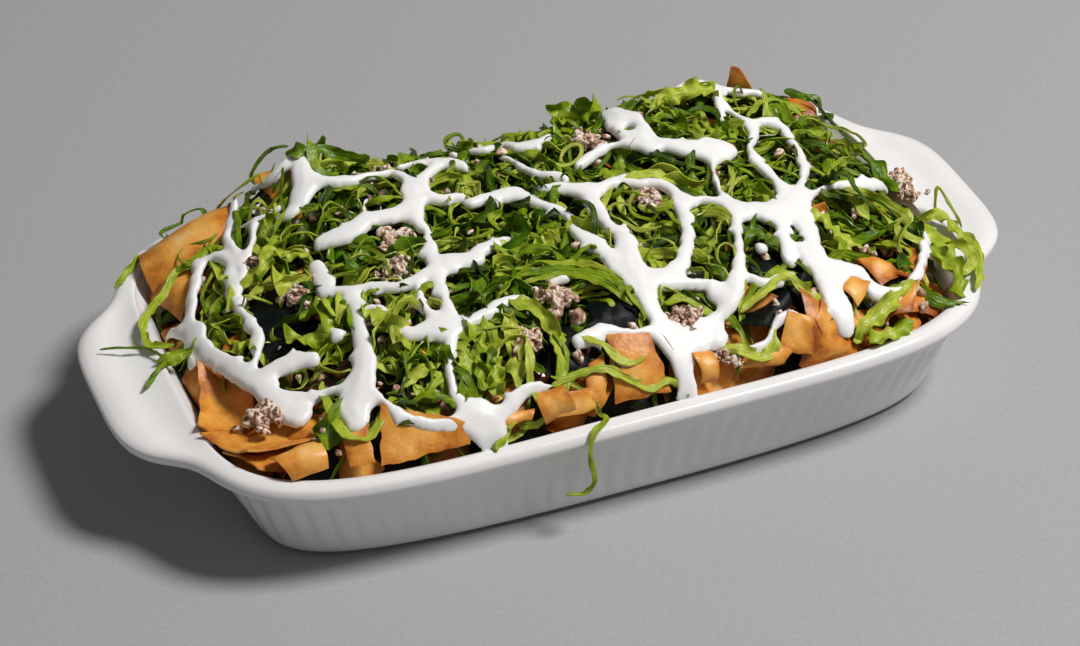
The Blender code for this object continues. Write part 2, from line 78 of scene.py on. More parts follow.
# Heap: a flat dome that falls to the lip, with a few mounds (x, y, height, radius).
HEAP_EDGE = 34.0
HEAP_RISE = 27.0
HEAP_SPREAD = (127.0, 78.0)
MOUNDS = (
    (-62, 46, 7, 26), (-20, 40, 2, 25), (66, 42, 6, 30), (20, 38, 2, 20), (-95, 10, -2, 20),
    (-100, -45, -5, 22), (95, -40, -3, 20), (30, -62, -5, 14), (-55, -64, -3, 14),
)
CORE_DEPTH = 8.0                    # how far the inside of the heap, painted dark as shade, lies under its top
CORE_ROOM = 1.6                     # how far it keeps from the wall
CORE_SIDE = ((12.0, FLOOR + 1.0), (5.0, 12.0), (0.0, 24.0))     # inset and height up its side
CORE_POINTS = 160
CORE_RINGS = 34

# Crisps: four corners in order round the crisp as (x, y, height above the heap), then how
# far it bows out of its plane along and across.
CRISPS = {
    "far_left_curl": (((-125, 60, 5), (-91, 63, 5), (-96, 46, 0), (-125.5, 44, 1)), 2.0, 3.5),
    "far_left_small": (((-83, 64, 12), (-68, 60, 11), (-71, 53, 5), (-80, 52, 4)), 0, -1.0),
    "left_petal": (((-124.5, -3, 6), (-134, -34, 7), (-117.5, -46.5, 4), (-113, -24, 2)), -4.0, -5.0),
    "left_scoop": (((-129, -46, 3), (-117, -51, -2), (-110, -62, -3.5), (-122, -61, 1.5)), -1.0, 2.0),
    "left_bowl": (((-134, -37, 5.5), (-124, -57, 7.5), (-96, -58, 1.5), (-92, -44, -1)), -3.0, -2.0),
    "left_roll": (((-118, -60, 2.5), (-101, -58, 0), (-102, -69, -1), (-114, -69, 0)), 0, 4.0),
    "front_dark": (((-93, -52, 2), (-85, -56, 3), (-88, -74, 2), (-96, -72, 1)), 0, 1.0),
    "front_wedge": (((-81, -59, 3.5), (-56, -71, 3), (-57, -74.3, 0), (-86, -73.5, -1)), 1.0, 0),
    "front_shard": (((-45, -71, 2), (-34, -72, 2), (-36, -74.3, 3), (-46, -74.2, 3)), 0, 0.5),
    "front_knot": (((-33, -68, 1), (-23, -69, 3), (-20, -74, 1), (-31, -74, -1)), 0, 3.0),
    "front_strip": (((-27, -70, 2), (-16, -71, 3), (-12, -74.2, 0), (-27, -74.2, 0)), 1.0, 0),
    "square_back": (((-12, -64, 0.5), (-6, -62, 0.5), (-10, -73.5, 0.5), (-18, -73, 0.5)), 0, 1),
    "square": (((-4, -59, 3.5), (10, -61, 3.5), (12, -74.3, 0), (-7, -74.3, 0)), 0.5, 1.5),
    "front_curved": (((21.5, -68, 3), (29, -68, 2), (29, -74, -1), (22.5, -74.3, 0)), 0, 3.0),
    "front_low": (((37, -73, 0), (49, -70, 1), (57, -72, 0), (52, -74.3, -1)), 1.0, 0.5),
    "fold_left": (((57.5, -64, 4), (65, -68, 4), (63, -74.2, 0), (51.5, -72, 0)), 0, 0.5),
    "fold_right": (((66, -69, 4.5), (71, -63, 4), (76, -71, 1), (66, -74.2, 0)), 0.5, 0.5),
    "right_triangle": (((84, -54, 3), (91, -59, 4), (83, -66, 3), (80, -60, 3)), 0.5, 0.5),
    "right_leaning": (((103, -62, 1), (109, -60, 5), (101, -70, 3), (91, -71, 1)), 1.0, 0.5),
    "right_glazed": (((91, -42, 1), (99, -47, 3), (106, -53, 1), (96, -57, 0)), 0.5, 2.0),
    "far_right": (((112, 54, 7), (120, 48, 9), (118, 37, 7), (110, 39, 5)), 0.5, 2.0),
    "right_wall": (((116, -36, 2), (118, -47, 1), (112, -60, -2), (111, -48, 1)), 1.0, -1.5),
    "far_tip": (((92, 55, 17), (94, 53, 17), (102, 50, 0), (90, 58, 0)), 0, 1.5),
}
CRISP_THICKNESS = 1.1
# Crisps tucked in below and between these: how many are tried, and between which x and y.
TUCKED_IN = (
    (12, (96, 112), (-68, -48)),
    (22, (-122, 118), (-70, -60)),
    (26, (-126, -102), (-60, 58)),
    (35, (104, 126), (-60, 48)),
    (25, (-100, 100), (-55, 68)),
)
# Sheets of seaweed, given in the same way.
SEAWEED = {
    "left": (((-103, 14, -1), (-89, 15, -1), (-90, -21, -1), (-104, -22, -1)), 0.5, 2.0),
    "front": (((-3, -43, -1), (9, -45, -1), (10, -55, -1), (-10, -54, -1)), 0.5, 1.5),
    "front_low": (((-18, -46, -2), (-9, -53, -2), (-14, -64, -2), (-28, -63, -2)), 0.5, 1.5),
    "right": (((66, -50, -1), (75, -53, -1), (51, -67, 0), (39, -61, 0)), 3.0, -1.5),
    "right_small": (((54, -41, -1), (65, -40, -1), (62, -49, -1), (53, -48, -1)), 0.5, 0.5),
}
SEAWEED_THICKNESS = 0.5
# Clumps of meat: x, y, radius.
CLUMPS = {
    "left_bowl": (-112, -42, 8.0),
    "left": (-86, 1, 6.5),
    "left_far": (-95, 24, 5.5),
    "middle_far": (-50, 9, 6.0),
    "middle": (-56, -6, 6.5),
    "front": (-29, -52, 6.5),
    "front_right": (-14, -40, 7.0),
    "far": (29, 34, 6.0),
    "centre": (36, -2, 5.5),
    "front_edge": (25, -55, 6.5),
    "rim": (33, -70, 5.0),
    "handle_far": (134.5, 6, 5.0),
    "handle_near": (133.5, -3.5, 4.5),
}
# Loose crumbs: how many, between which corners, and a few beside them as x, y, share of size.
CRUMBS = 280
CRUMB_FIELD = ((-112, -70), (112, 68))
CRUMBS_BESIDE = (
    (-130, -38, 0.8), (-128, -34, 0.4), (142, -3, 0.4), (38, -72, 0.7), (44, -70, 0.9), (127, 6, 1.2),
)
# Where lettuce is scattered: corners, and the outline it thins out towards.
LEAF_FIELD = ((-124, -72), (126, 74))
LEAF_EDGE = (128, 73.5, 4, 4)
# Where no lettuce lies: x, y, half length, half width.
CLEARINGS = (
    (-90, -38, 9, 7), (91, -36, 9, 6), (-112, 46, 6, 5), (-116, 26, 5, 6),
    (-97, -3, 9, 18), (0, -49, 8, 6), (-18, -57, 8, 7), (56, -59, 15, 7), (59, -45, 6, 5),
    (-116, -47, 21, 16), (-123, -17, 8, 17), (118, -57, 10, 9), (-75, 57, 8, 5), (115, 46, 7, 7),
    (-108, 55, 15, 8), (-85, -47, 7, 8), (96, -46, 12, 10),
    (-112, -42, 8, 7), (-29, -52, 6, 5), (-14, -40, 7, 5), (25, -55, 7, 5), (-56, -6, 5, 5),
    (-50, 9, 5, 5), (-86, 1, 6, 5), (-95, 24, 5, 4), (29, 34, 6, 5), (36, -2, 5, 4),
)
# Lettuce, from the bottom up. Kind: how many, length, width, level over the heap, stations,
# points across, turn, hook, arch, tilt, twist, ruffle, wavelength, cup.
SHREDS = {
    "deep_shreds": (430, (20, 44), (3.5, 6.5), (-9, -4.5), 12, 3, 0.9, 1.0, 1.2, 0.4, 0.5, 0.3, 7, 0.3),
    "shreds": (310, (28, 62), (2.2, 4.4), (-4.5, 2.4), 28, 4, 0.9, 1.7, 2.6, 0.9, 1.4, 0.3, 7, 0.4),
    "fine_shreds": (240, (18, 50), (0.9, 1.9), (-3, 3.4), 28, 3, 1.2, 2.4, 2.4, 0.7, 1.2, 0.2, 6, 0.3),
    "broad_shreds": (76, (14, 32), (6.0, 10.0), (-4.5, 1.4), 30, 9, 0.5, 0.8, 2.0, 0.8, 0.8, 0.5, 6, 0.6),
}
SHRED_THICKNESS = 0.4
OVER_CREAM = 0.06                   # share of the shreds that cream hasn't pressed down
PLACED_STATIONS = 56
ROUTE_STEP = 2.0                    # about how far apart the points of a smoothed route lie
# Strips of lettuce that show by themselves: width, ruffle, tone, then the route as
# (x, y, height above the heap or the rim).
PLACED_SHREDS = (
    (1.9, 0.35, 0.75, ((-26, -66, 3), (-18, -69, 1), (-13, -75, 0.5), (-12, -79, 1.0), (-18, -83, 0.6),
                      (-20, -85, -4), (-19, -85.2, -13), (-19, -85, -19), (-22, -84.8, -22),
                      (-28, -84.5, -21))),
    (2.6, 0.2, 0.85, ((-27, -68, 2), (-17, -67.5, 3.5), (-8.5, -68, 4), (-3, -71, 3.5), (1.5, -73, 3),
                      (6, -74.5, 3), (12, -73.5, 3), (16, -75, 2), (17, -78, 1))),
    (2.8, 0.2, 0.95, ((-12, -58, 4), (-7, -62, 5), (-4, -66, 4.8), (0, -68.5, 4.5), (6, -68, 4.5))),
    (3.4, 0.2, 1.0, ((-72, -55.5, 2.5), (-65, -53, 3.5), (-58, -52, 3))),
    (1.3, 0.1, 0.8, ((-63.5, -44, 2), (-66, -48, 2.5), (-62.5, -51.5, 3), (-57, -52, 2.5))),
    (3.6, 0.3, 0.7, ((-68, -55, 1), (-66.5, -61, 1.5), (-65, -68, 2))),
    (5.0, 0.5, 0.95, ((-31, -41, 3), (-32.5, -48, 4), (-34.5, -57, 3), (-37, -66, 2))),
    (4.6, 0.4, 0.8, ((-29, -38, 4), (-24, -42, 4), (-20, -48, 3), (-18, -54, 1))),
    (1.2, 0.1, 0.6, ((-20, -53, 2), (-18, -58, 2), (-18.5, -62, 1), (-21, -66, 1))),
    (6.0, 0.8, 0.75, ((-53, -47, 2), (-50, -53, 4), (-51, -61, 2))),
    (5.5, 0.8, 0.8, ((-47, -46, 2), (-43, -52, 4), (-42, -60, 3), (-45, -66, 2))),
    (5.0, 0.8, 0.7, ((-50, -49, 3), (-46, -56, 4.5), (-48, -64, 3))),
    (3.2, 0.2, 0.75, ((-41, -73, 3), (-45, -75, 3), (-49, -78, 1.5), (-50, -80, 0.8))),
    (2.8, 0.4, 0.75, ((-113, 46, 2), (-120, 40, 3), (-128, 32, 3), (-134, 25, 2.5), (-136, 17, 2),
                      (-134, 11, 2), (-128, 10, 2))),
    (0.9, 0.1, 0.3, ((-151, 18, 0.8), (-147, 16.5, 1.2), (-143, 15, 1.5), (-137, 12, 2), (-133, 4, 2))),
    (4.0, 0.7, 0.5, ((-136, 4, 1.5), (-131, 2, 3), (-125, 3, 3), (-119, 6, 2))),
    (1.6, 0.3, 0.4, ((-130, 4, 2), (-136, 0, 2), (-140, -4, 1), (-143, -7, 0.8))),
    (2.6, 0.4, 0.7, ((-122, 63, 2), (-129, 57, 2), (-137, 49, 1))),
    (1.5, 0.1, 0.3, ((-113, 64, 4), (-116, 65, 7), (-109, 67, 8), (-101, 66, 8), (-101, 58, 4),
                     (-104, 50, 3))),
    (3.0, 0.3, 0.45, ((-120, 48, 2), (-113, 48, 3), (-105, 46, 3))),
    (4.0, 0.4, 0.6, ((-117, 42, 2), (-110, 41, 3), (-104, 43, 3), (-99, 39, 2))),
    (5.0, 0.5, 0.85, ((-104, 17, 3), (-97, 17, 4), (-90, 22, 4.5), (-84, 19, 4.5), (-79, 14, 3))),
    (3.0, 0.2, 1.0, ((-102, 9, 3), (-96, 12, 3.5), (-90, 12, 3))),
    (11.0, 0.5, 0.95, ((-89, 13, 2.5), (-88, 7, 3.5), (-86, 1, 3))),
    (7.0, 0.7, 0.75, ((-98, -18, 2), (-91, -21, 3), (-84, -26, 2))),
    (11.0, 0.5, 0.45, ((-89, -7, 1), (-84, -14, 2.5), (-79, -22, 1))),
    (7.0, 0.7, 0.85, ((-73, -21, 3), (-69, -28, 4.5), (-66, -36, 4), (-65, -44, 2))),
    (1.3, 0.1, 0.25, ((-83, 59, 4), (-84, 60, 9), (-78, 62, 12), (-70, 61, 9))),
    (5.0, 0.5, 0.3, ((-70, 62, 8), (-68, 58, 6), (-69, 53, 4))),
    (6.0, 0.8, 0.65, ((-64, 59, 8), (-59, 60, 10), (-54, 61, 7))),
    (4.0, 0.4, 0.9, ((-60, 66, 9), (-52, 66, 8), (-44, 62, 4), (-38, 56, 2))),
    (1.6, 0.1, 0.5, ((-13, 57, 1), (-14, 59, 7), (-9, 60, 8), (-7, 57, 2))),
    (8.0, 0.9, 0.6, ((26, 54, 2), (28, 56, 7), (29, 57, 12))),
    (9.0, 0.9, 0.55, ((28, 54, 4), (35, 54, 6), (42, 53, 4))),
    (6.0, 0.5, 0.85, ((55, 41, 3), (65, 44, 4), (76, 45, 4), (86, 42, 3))),
    (2.8, 0.2, 1.0, ((43, -60, 2.5), (52, -57, 3.5), (62.5, -53.5, 4.5), (65, -57, 4), (68, -60.5, 3),
                     (73, -61, 2))),
    (4.2, 0.4, 0.9, ((32, -69.5, 3), (37, -70.5, 4), (44, -73.5, 3), (50, -72, 3.5), (51.5, -67, 3))),
    (3.0, 0.3, 0.7, ((20, -51, 2), (26, -51, 3), (31, -55, 3), (38, -60, 2))),
    (3.0, 0.2, 0.45, ((-24, -27, 3), (-9, -30, 4), (4, -38, 4), (11, -49, 3), (15, -60, 2))),
    (2.6, 0.2, 0.65, ((-22, -31, 3), (-8, -33, 4), (2, -40, 4), (9, -50, 2))),
    (2.4, 0.2, 0.75, ((-28, -23, 3), (-12, -26, 4), (2, -32, 4.5), (10, -42, 3))),
    (5.5, 0.4, 0.85, ((83, -20, 3), (89, -31, 4), (97, -40, 2))),
    (6.0, 0.4, 0.9, ((78, -74, 2), (87, -70, 3), (95, -66.5, 4), (104, -62, 4), (109, -59, 3))),
    (5.5, 0.5, 0.75, ((83, -75, 1), (92, -74, 2), (101, -71, 2))),
    (4.5, 0.5, 0.35, ((121, 15, 4), (128, 11, 4), (131, 4, 3), (133, -5, 1))),
    (1.1, 0.2, 0.1, ((116, 44, 6), (121, 36, 5), (124, 28, 4), (127, 20, 3), (127, 12, 3))),
    (4.0, 0.4, 0.2, ((111, 50, 5), (119, 50, 6), (124, 45, 5), (124, 38, 3))),
    (5.0, 0.5, 0.9, ((129, -20, 2), (133, -21, 4), (137, -24, 4), (139, -31, 3), (138, -40, 2))),
    (6.5, 0.6, 0.75, ((126, -22, 3), (127, -30, 5), (128, -38, 5), (129, -46, 2))),
    (3.2, 0.4, 0.85, ((138, -28, 1.5), (139.5, -37, 3), (138, -47, 3), (134, -55, 2), (129, -62, 1))),
    (4.0, 0.4, 1.0, ((129, -39, 4), (134, -42, 5), (135, -49, 4), (130, -53, 3), (125, -50, 4),
                     (125, -44, 4), (130, -41, 5))),
    (1.1, 0.2, 0.6, ((135, -21, 2), (137, -17, 7), (139, -14.5, 10), (141, -19, 6), (140, -31, 3))),
    (5.5, 0.6, 0.6, ((122, -42, 4), (125, -48, 5), (126, -56, 3), (122, -64, 1.5))),
)
# Sour cream: each strand as (x, y, width) along its route over the heap.
STRANDS = (
    ((-110, 40, 4), (-112, 35, 4), (-117, 25, 5), (-120, 19, 5), (-121, 11, 6.5), (-121, 6, 7),
     (-120, -4, 6.5), (-117, -13, 6.5), (-114.5, -21, 7), (-112, -28, 7), (-110, -35, 7.5),
     (-107, -43, 9), (-104.5, -48, 8.5)),
    ((-111, 39, 4), (-107, 39, 4), (-103, 36, 4), (-102, 30, 4.5), (-104, 22, 6), (-105, 15, 6),
     (-106, 8, 4), (-105, 0, 5), (-105, -8, 5), (-107, -15, 4.5), (-110, -20, 3.5)),
    ((-91, 57, 3.5), (-95, 50, 4), (-98.5, 43.5, 4), (-99, 33, 5), (-99.5, 25, 4.5), (-101, 19, 3)),
    ((-80, 42, 2), (-85, 42, 3), (-88.5, 43, 4.5), (-91, 38, 3), (-93.5, 32, 3), (-98, 29, 4)),
    ((-110, -27, 6.5), (-106, -26.5, 7), (-102, -27, 7), (-97, -28, 7), (-93.5, -30, 6.5)),
    ((-107, -39, 6.5), (-103.5, -40.5, 6), (-100, -43, 5), (-93, -44.5, 3), (-89.5, -46, 4), (-85, -47, 5)),
    ((-75.5, -7, 3), (-74, -14, 5), (-74.5, -20, 5), (-76.5, -28, 6), (-78.5, -37, 7.5),
     (-80.5, -43, 9), (-84.5, -49, 11), (-88.5, -55, 11), (-89, -60, 9)),
    ((-84.5, -23, 3.5), (-83.5, -26, 5.5)),
    ((-84, 61, 3.5), (-82, 57, 3.5), (-77, 54, 4), (-71, 56, 4), (-68, 61, 4)),
    ((-66, 57, 7), (-69.5, 46.5, 9), (-74.5, 39, 8), (-79, 36.5, 5), (-82, 37, 2)),
    ((-68, 44, 5), (-61, 42, 5), (-55, 40, 5.5), (-49, 41, 4), (-44.5, 41, 3.5), (-39.5, 41.5, 3.5),
     (-37.5, 36, 4), (-36, 30, 7)),
    ((-74, 18, 6), (-68.5, 17, 8), (-63, 17, 8), (-57.5, 19, 8), (-52, 19, 7), (-47, 18.5, 7),
     (-41, 19.5, 8)),
    ((-56, 20, 2.5), (-56, 25, 2), (-53, 29, 1.5)),
    ((-78.5, 9, 6.5), (-79, 1, 7), (-80, -5, 6.5), (-76.5, -7.5, 2.5)),
    ((-76, -8, 4), (-71, -10.5, 4), (-66.5, -11.5, 4.5), (-63, -14, 5), (-59, -16, 5),
     (-53.5, -16, 6), (-48, -15, 7)),
    ((-74.5, -18, 4), (-72, -20, 4), (-68, -24, 4), (-66.5, -28, 4.5), (-66, -33, 5), (-63.5, -38, 6),
     (-57.5, -39, 7), (-51, -41, 9), (-44.5, -41, 6), (-38, -40, 5), (-33, -38, 5), (-26.5, -37, 4),
     (-23, -39, 3.5), (-21.5, -42, 2.5)),
    ((-52.5, -18, 4), (-54.5, -25, 4), (-55, -30, 4), (-54, -36, 5)),
    ((-36.5, 27.5, 9), (-40.5, 19, 7), (-41.5, 11.5, 6), (-40.5, 6.5, 4), (-42, 1, 5), (-43.5, -6, 6),
     (-44.5, -13, 7), (-46.5, -20, 6), (-47.5, -28, 4.5), (-48.5, -35, 6)),
    ((-36, 45, 3), (-31, 46, 3), (-26, 44.5, 5), (-21, 42, 8), (-17, 38, 6), (-15.5, 33.5, 2)),
    ((-25, 40, 5), (-29.5, 36, 5), (-34, 31, 6)),
    ((-34.5, 24, 6), (-30, 20.5, 5), (-25, 20, 5), (-23, 19, 4)),
    ((-21.5, 15, 5), (-17, 16, 5.5), (-12, 15.5, 7), (-6, 15, 8), (-2.5, 10.5, 6), (0, 6, 5),
     (3.5, 2.5, 4.5), (6, -3.5, 4.5), (5, -11, 4.5), (6.5, -16.5, 7), (8.5, -21, 8), (9.5, -27.5, 7),
     (11, -34, 8)),
    ((-43, -10, 6), (-39, -11.5, 8), (-34, -13, 8.5), (-31, -13.5, 7)),
    ((-30, -11, 4), (-27.5, -9.5, 6.5), (-22, -8.5, 5), (-18, -7.5, 3), (-15.5, -6.5, 1)),
    ((-15, -14.5, 2), (-12.5, -14.5, 3), (-8, -15.5, 2.5)),
    ((-15.5, -33, 1), (-9.5, -33.5, 3.8), (-3, -33, 1)),
    ((-50, -41, 7), (-52, -46, 5), (-53.5, -49.5, 4.5), (-55.5, -54, 4.5), (-56.5, -58, 4.5),
     (-57, -61, 4.5), (-56, -65, 5), (-54, -68, 8)),
    ((-80.5, -55, 3), (-79, -58, 3.5), (-78, -61.5, 4), (-75, -65, 4), (-70, -68, 4), (-65, -69.5, 4.5),
     (-60, -70, 5), (-54, -70, 8), (-49, -72, 9), (-47.5, -75, 7), (-46.5, -78, 4.5)),
    ((-50, -72, 8), (-44, -71, 5), (-40, -69, 4.5), (-36, -67.5, 4), (-31.5, -67.5, 4), (-25.5, -68, 1.5)),
    ((-2.5, 38, 2), (0, 35.5, 3), (2, 29, 3), (4, 25, 3.5), (6.5, 21.5, 4), (10.5, 19.5, 5), (14, 16, 2)),
    ((2.5, 15, 3), (9, 13, 5), (15, 9.5, 6.5), (19.5, 8, 6), (25, 8.5, 5), (30, 9, 5), (33, 6, 5),
     (37.5, 5, 4.5), (42, 3, 5.5), (44.5, -2, 5), (45, -8, 6), (48, -10, 5), (53, -10.5, 4),
     (57, -12.5, 4.5), (60, -16, 6), (60.5, -19.5, 7), (66.5, -20, 8), (73, -21, 11), (80, -19, 13)),
    ((17, 7, 6.5), (16.5, 3.5, 7), (16.5, -4, 6), (16.5, -11, 5.5), (17, -16, 6), (20, -17.5, 5),
     (21, -14, 2)),
    ((18.5, -22.5, 8), (16.5, -29, 9), (14, -36, 11), (14.5, -43, 10), (14.5, -50, 8), (15, -57, 7),
     (16.5, -62, 10), (18, -67, 8.5), (17.5, -72, 7), (18, -76, 7), (18.5, -79, 5)),
    ((-13, -58, 5), (-8, -57.5, 6), (-3, -57, 5.5), (3.5, -59.5, 3.5), (9.5, -60, 4), (14, -61, 5)),
    ((18, -42.5, 7), (24, -43.5, 7.5), (29, -46, 5), (36, -48, 3.2), (40, -49, 3)),
    ((43, 49, 9), (43.5, 42, 11), (44.5, 35, 13), (45.5, 28, 12), (46.5, 23, 9)),
    ((47, 23, 7), (51, 21.5, 6.5), (57.5, 18, 8), (64, 15, 11), (69, 14, 11), (72, 13.5, 8)),
    ((41, 27, 4), (34.5, 28, 3), (31, 27, 4), (25.5, 24.5, 5), (20, 21.5, 4)),
    ((65, 10, 5), (62.5, 5, 2.4), (60.5, -2.5, 3), (59.5, -10, 4), (60, -16, 5)),
    ((67, 46, 4), (69, 50, 5), (74, 53, 8), (80, 53, 9), (87, 51, 8), (93, 49, 6), (99, 46, 4)),
    ((84, 50, 6), (82, 43, 5), (80, 37, 4.5), (77.5, 31, 3.5)),
    ((83, 36.5, 2), (85.5, 32, 2.6), (87.5, 28, 5), (85.5, 21.5, 4.5), (81, 15, 3.5), (80, 8, 5),
     (81.5, 1, 5.5), (82, -6, 5.5), (83, -12, 8)),
    ((88, 28.5, 5), (91, 30, 4), (96, 29.5, 4.5), (98.5, 26, 5), (99, 19, 5), (98.5, 12.5, 4),
     (96.5, 4.5, 4.5), (92.5, -3.5, 3.5), (88.5, -10, 6)),
    ((84, -14, 11), (82, -24, 10.5), (80.5, -33, 8), (78, -38, 8.5), (76.5, -46, 10), (77, -53, 10),
     (76, -59, 9.5), (76, -65, 10), (76, -70, 8)),
    ((84, -14, 6), (92, -12, 3), (97, -9, 2.5), (104, -6.5, 3.5), (112, -5, 5.5), (120, -2.5, 5.5),
     (126, 0.5, 4)),
    ((72.5, -24, 7), (71.5, -33, 6), (69, -40, 6), (67, -46, 5.5)),
    ((43.5, -10, 6), (41.5, -19, 5.5), (39, -27, 5.5), (35.5, -33, 6), (32, -38, 6), (28, -41, 7),
     (23, -43, 7)),
    ((60, -18, 6), (58.5, -22, 5), (55.5, -30, 4), (52.5, -38, 4.3), (50, -43.5, 5.5),
     (46.5, -49, 6.5), (44, -54, 6), (41, -56.5, 6), (36, -59, 5), (32, -60, 6), (27, -62, 9),
     (22, -64, 11)),
    ((37, -52, 5.5), (41, -53.5, 5)),
    ((40.5, -71, 3), (44, -71.5, 3.5), (47.5, -71, 3.5), (51, -68, 3), (54, -66, 3.5), (57.5, -65, 4),
     (60.5, -65, 3), (63.5, -67.5, 3), (66, -68, 3), (70, -67, 4)),
    ((51.5, -50.5, 4), (54.5, -53.5, 4.5), (57.5, -54, 4), (62, -52.5, 3.5), (66, -51.5, 2.5)),
    ((59.5, -38, 4), (60, -39, 5)),
    ((77, -50, 8), (84, -51, 8), (88.5, -52.5, 7), (90, -57, 6), (91.5, -61, 6), (95, -63, 6),
     (101, -62, 5), (107, -58, 4.5), (113, -52, 4), (118, -45, 4), (123, -37, 4), (126, -28, 4.5),
     (126, -20, 4.5), (130, -13, 3.5)),
    ((4, 47, 4), (6, 42, 6.5), (10, 40.5, 7), (14.5, 41, 5.5), (18.5, 44, 3)),
    ((-9, 49, 3), (-4.5, 46.5, 5), (0, 48, 3)),
    ((-15.5, 49, 3), (-15, 48, 3.5)),
    ((-120, 10, 6), (-123.5, 15, 3.5), (-126, 21, 4)),
    ((-123, 7, 3), (-125, 2, 3), (-125.5, -1, 2.6)),
)
# Wide places: x, y, width.
POOLS = (
    (-105, -47, 9), (-86, -53, 12), (-74, -14, 6), (-40, -13, 8.5), (-37, 28, 10),
    (-52, -40, 10), (-52, -71, 12), (15, -40, 11), (19, -64, 12), (27, -64, 9), (33, -64.5, 7.5),
    (61, -18, 9), (70, -22, 9), (79, -21, 12), (85, -14, 11), (77, -42, 10), (79, -54, 11),
    (67, 15, 12), (45, 38, 12), (45, -8, 7.5), (17, 7.5, 8), (79, 52, 10), (91, -61.5, 7),
)
# Holes through it: x, y, width.
HOLES = ((44.3, 34.5, 3.2), (74.5, -36, 4), (88.5, 48, 2))
# Places where leaves stand proud of the heap, under the cream: x, y, rise, radius.
PROUD = (
    (-76, 58, 7.5, 9), (-66, 57, 7, 10), (-91, 57, 4, 7), (78, 52, 6, 12), (97, 48, 2.5, 10),
    (56, 50, 3, 12), (120, -30, 5, 16), (112, 40, 8, 18), (120, 12, 7, 16),
)
CREAM_BED = 0.8                     # how far over the mean top of the heap cream lies
CREAM_THICKNESS = 2.4
CREAM_ROUND = 1.8                   # radius of the edge of a strand in plan
CREAM_WEB = 1.0                     # how far strands draw together where they meet
CREAM_SINK = 1.0                    # how far it sinks in between the leaves
CREAM_VOXEL = 0.68
POUR_GRID = 0.6                     # spacing of the places at which poured things are worked out
POUR_ACROSS = (-137, 137)
POUR_ALONG = (-84, 72)
# Sauce: strands and pools, given like those of the cream.
SAUCE_STRANDS = (
    ((-98, -37, 5), (-91, -38, 9), (-85, -41, 9), (-83, -36, 8)),
    ((84, -32, 6), (89, -36, 9), (95, -38, 9), (101, -40, 5)),
    ((96, -46, 6), (102, -50, 9), (107, -47, 7)),
)
SAUCE_POOLS = ((-112, 46, 9), (112, 50, 9), (-116, 26, 8), (-29, -62, 8), (60, -62, 9))
SAUCE_DEPTH = 1.8                   # how far under the mean top of the heap sauce lies
SAUCE_THICKNESS = 1.0
SAUCE_ROUND = 2.5
SAUCE_WEB = 1.5
SAUCE_SINK = 1.5
SAUCE_VOXEL = 0.6

# Height map of the heap: its corner and the size of its cells.
MAP_CORNER = (-160, -95)
MAP_CELL = 1.5
MAP_CELLS = (213, 126)              # along and across
MAP_FLOOR = 20.0

# Seeds of the random draws, each the first of a run.
SEEDS = {
    "core": 5, "tucked_in": 41, "cream": 60, "loose_crumbs": 77, "sauce": 80, "crisps": 100, "seaweed": 300,
    "meat": 500, "placed": 690, "lettuce": 700, "tucked_in_shapes": 900,
}

# Camera: where it looks, how far away, how high and how far round it stands, and its lens.
LOOK_AT = (-3.2, -0.3, 20.0)
DISTANCE = 1108.0
ELEVATION = 37.0
AZIMUTH = -21.8
ROLL = -0.4
LENS = 108.7
SENSOR = 36.0
SIGHT_METRES = 20.0
# Key lamp: place, width, power and colour. Room: colour and strength.
KEY_PLACE = (930, -445, 1755)
KEY_WIDTH = 570
KEY_POWER = 39.5
KEY_COLOUR = "#fffdfb"
ROOM_COLOUR = "#d3d0cd"
ROOM_STRENGTH = 0.2
TABLE_REACH = 3000.0


def linear(hex_colour):
    """Linear red, green, blue and alpha of an sRGB hex colour."""
    values = [int(hex_colour[i:i + 2], 16) / 255 for i in (1, 3, 5)]
    return tuple(v / 12.92 if v <= 0.04045 else ((v + 0.055) / 1.055) ** 2.4 for v in values) + (1.0,)


def add(tree, kind, inputs=None, stops=None, **settings):
    """Shader node of a kind, with its settings, and inputs set to values or linked to sockets."""
    node = tree.nodes.new("ShaderNode" + kind)
    for key, value in settings.items():
        setattr(node, key, value)
    for key, value in (inputs or {}).items():
        if isinstance(value, bpy.types.NodeSocket):
            tree.links.new(value, node.inputs[key])
        else:
            node.inputs[key].default_value = value
    if stops:
        elements = node.color_ramp.elements
        while len(elements) < len(stops):
            elements.new(0.5)
        for element, (position, colour) in zip(elements, stops):
            element.position = position
            element.color = linear(colour)
    return node


def new_material(name):
    """Empty material, its node tree and the socket that gives places on the piece, in metres."""
    material = bpy.data.materials.new(name)
    material.use_nodes = True
    tree = material.node_tree
    tree.nodes.clear()
    return material, tree, add(tree, "TexCoord").outputs["Object"]


def surface(tree, inputs):
    """Principled shader on the material's output."""
    shader = add(tree, "BsdfPrincipled", inputs)
    add(tree, "OutputMaterial", {"Surface": shader.outputs["BSDF"]})


def per_metre(millimetres):
    """Texture scale that gives a pattern of a real size."""
    return 1.0 / (millimetres * MM)


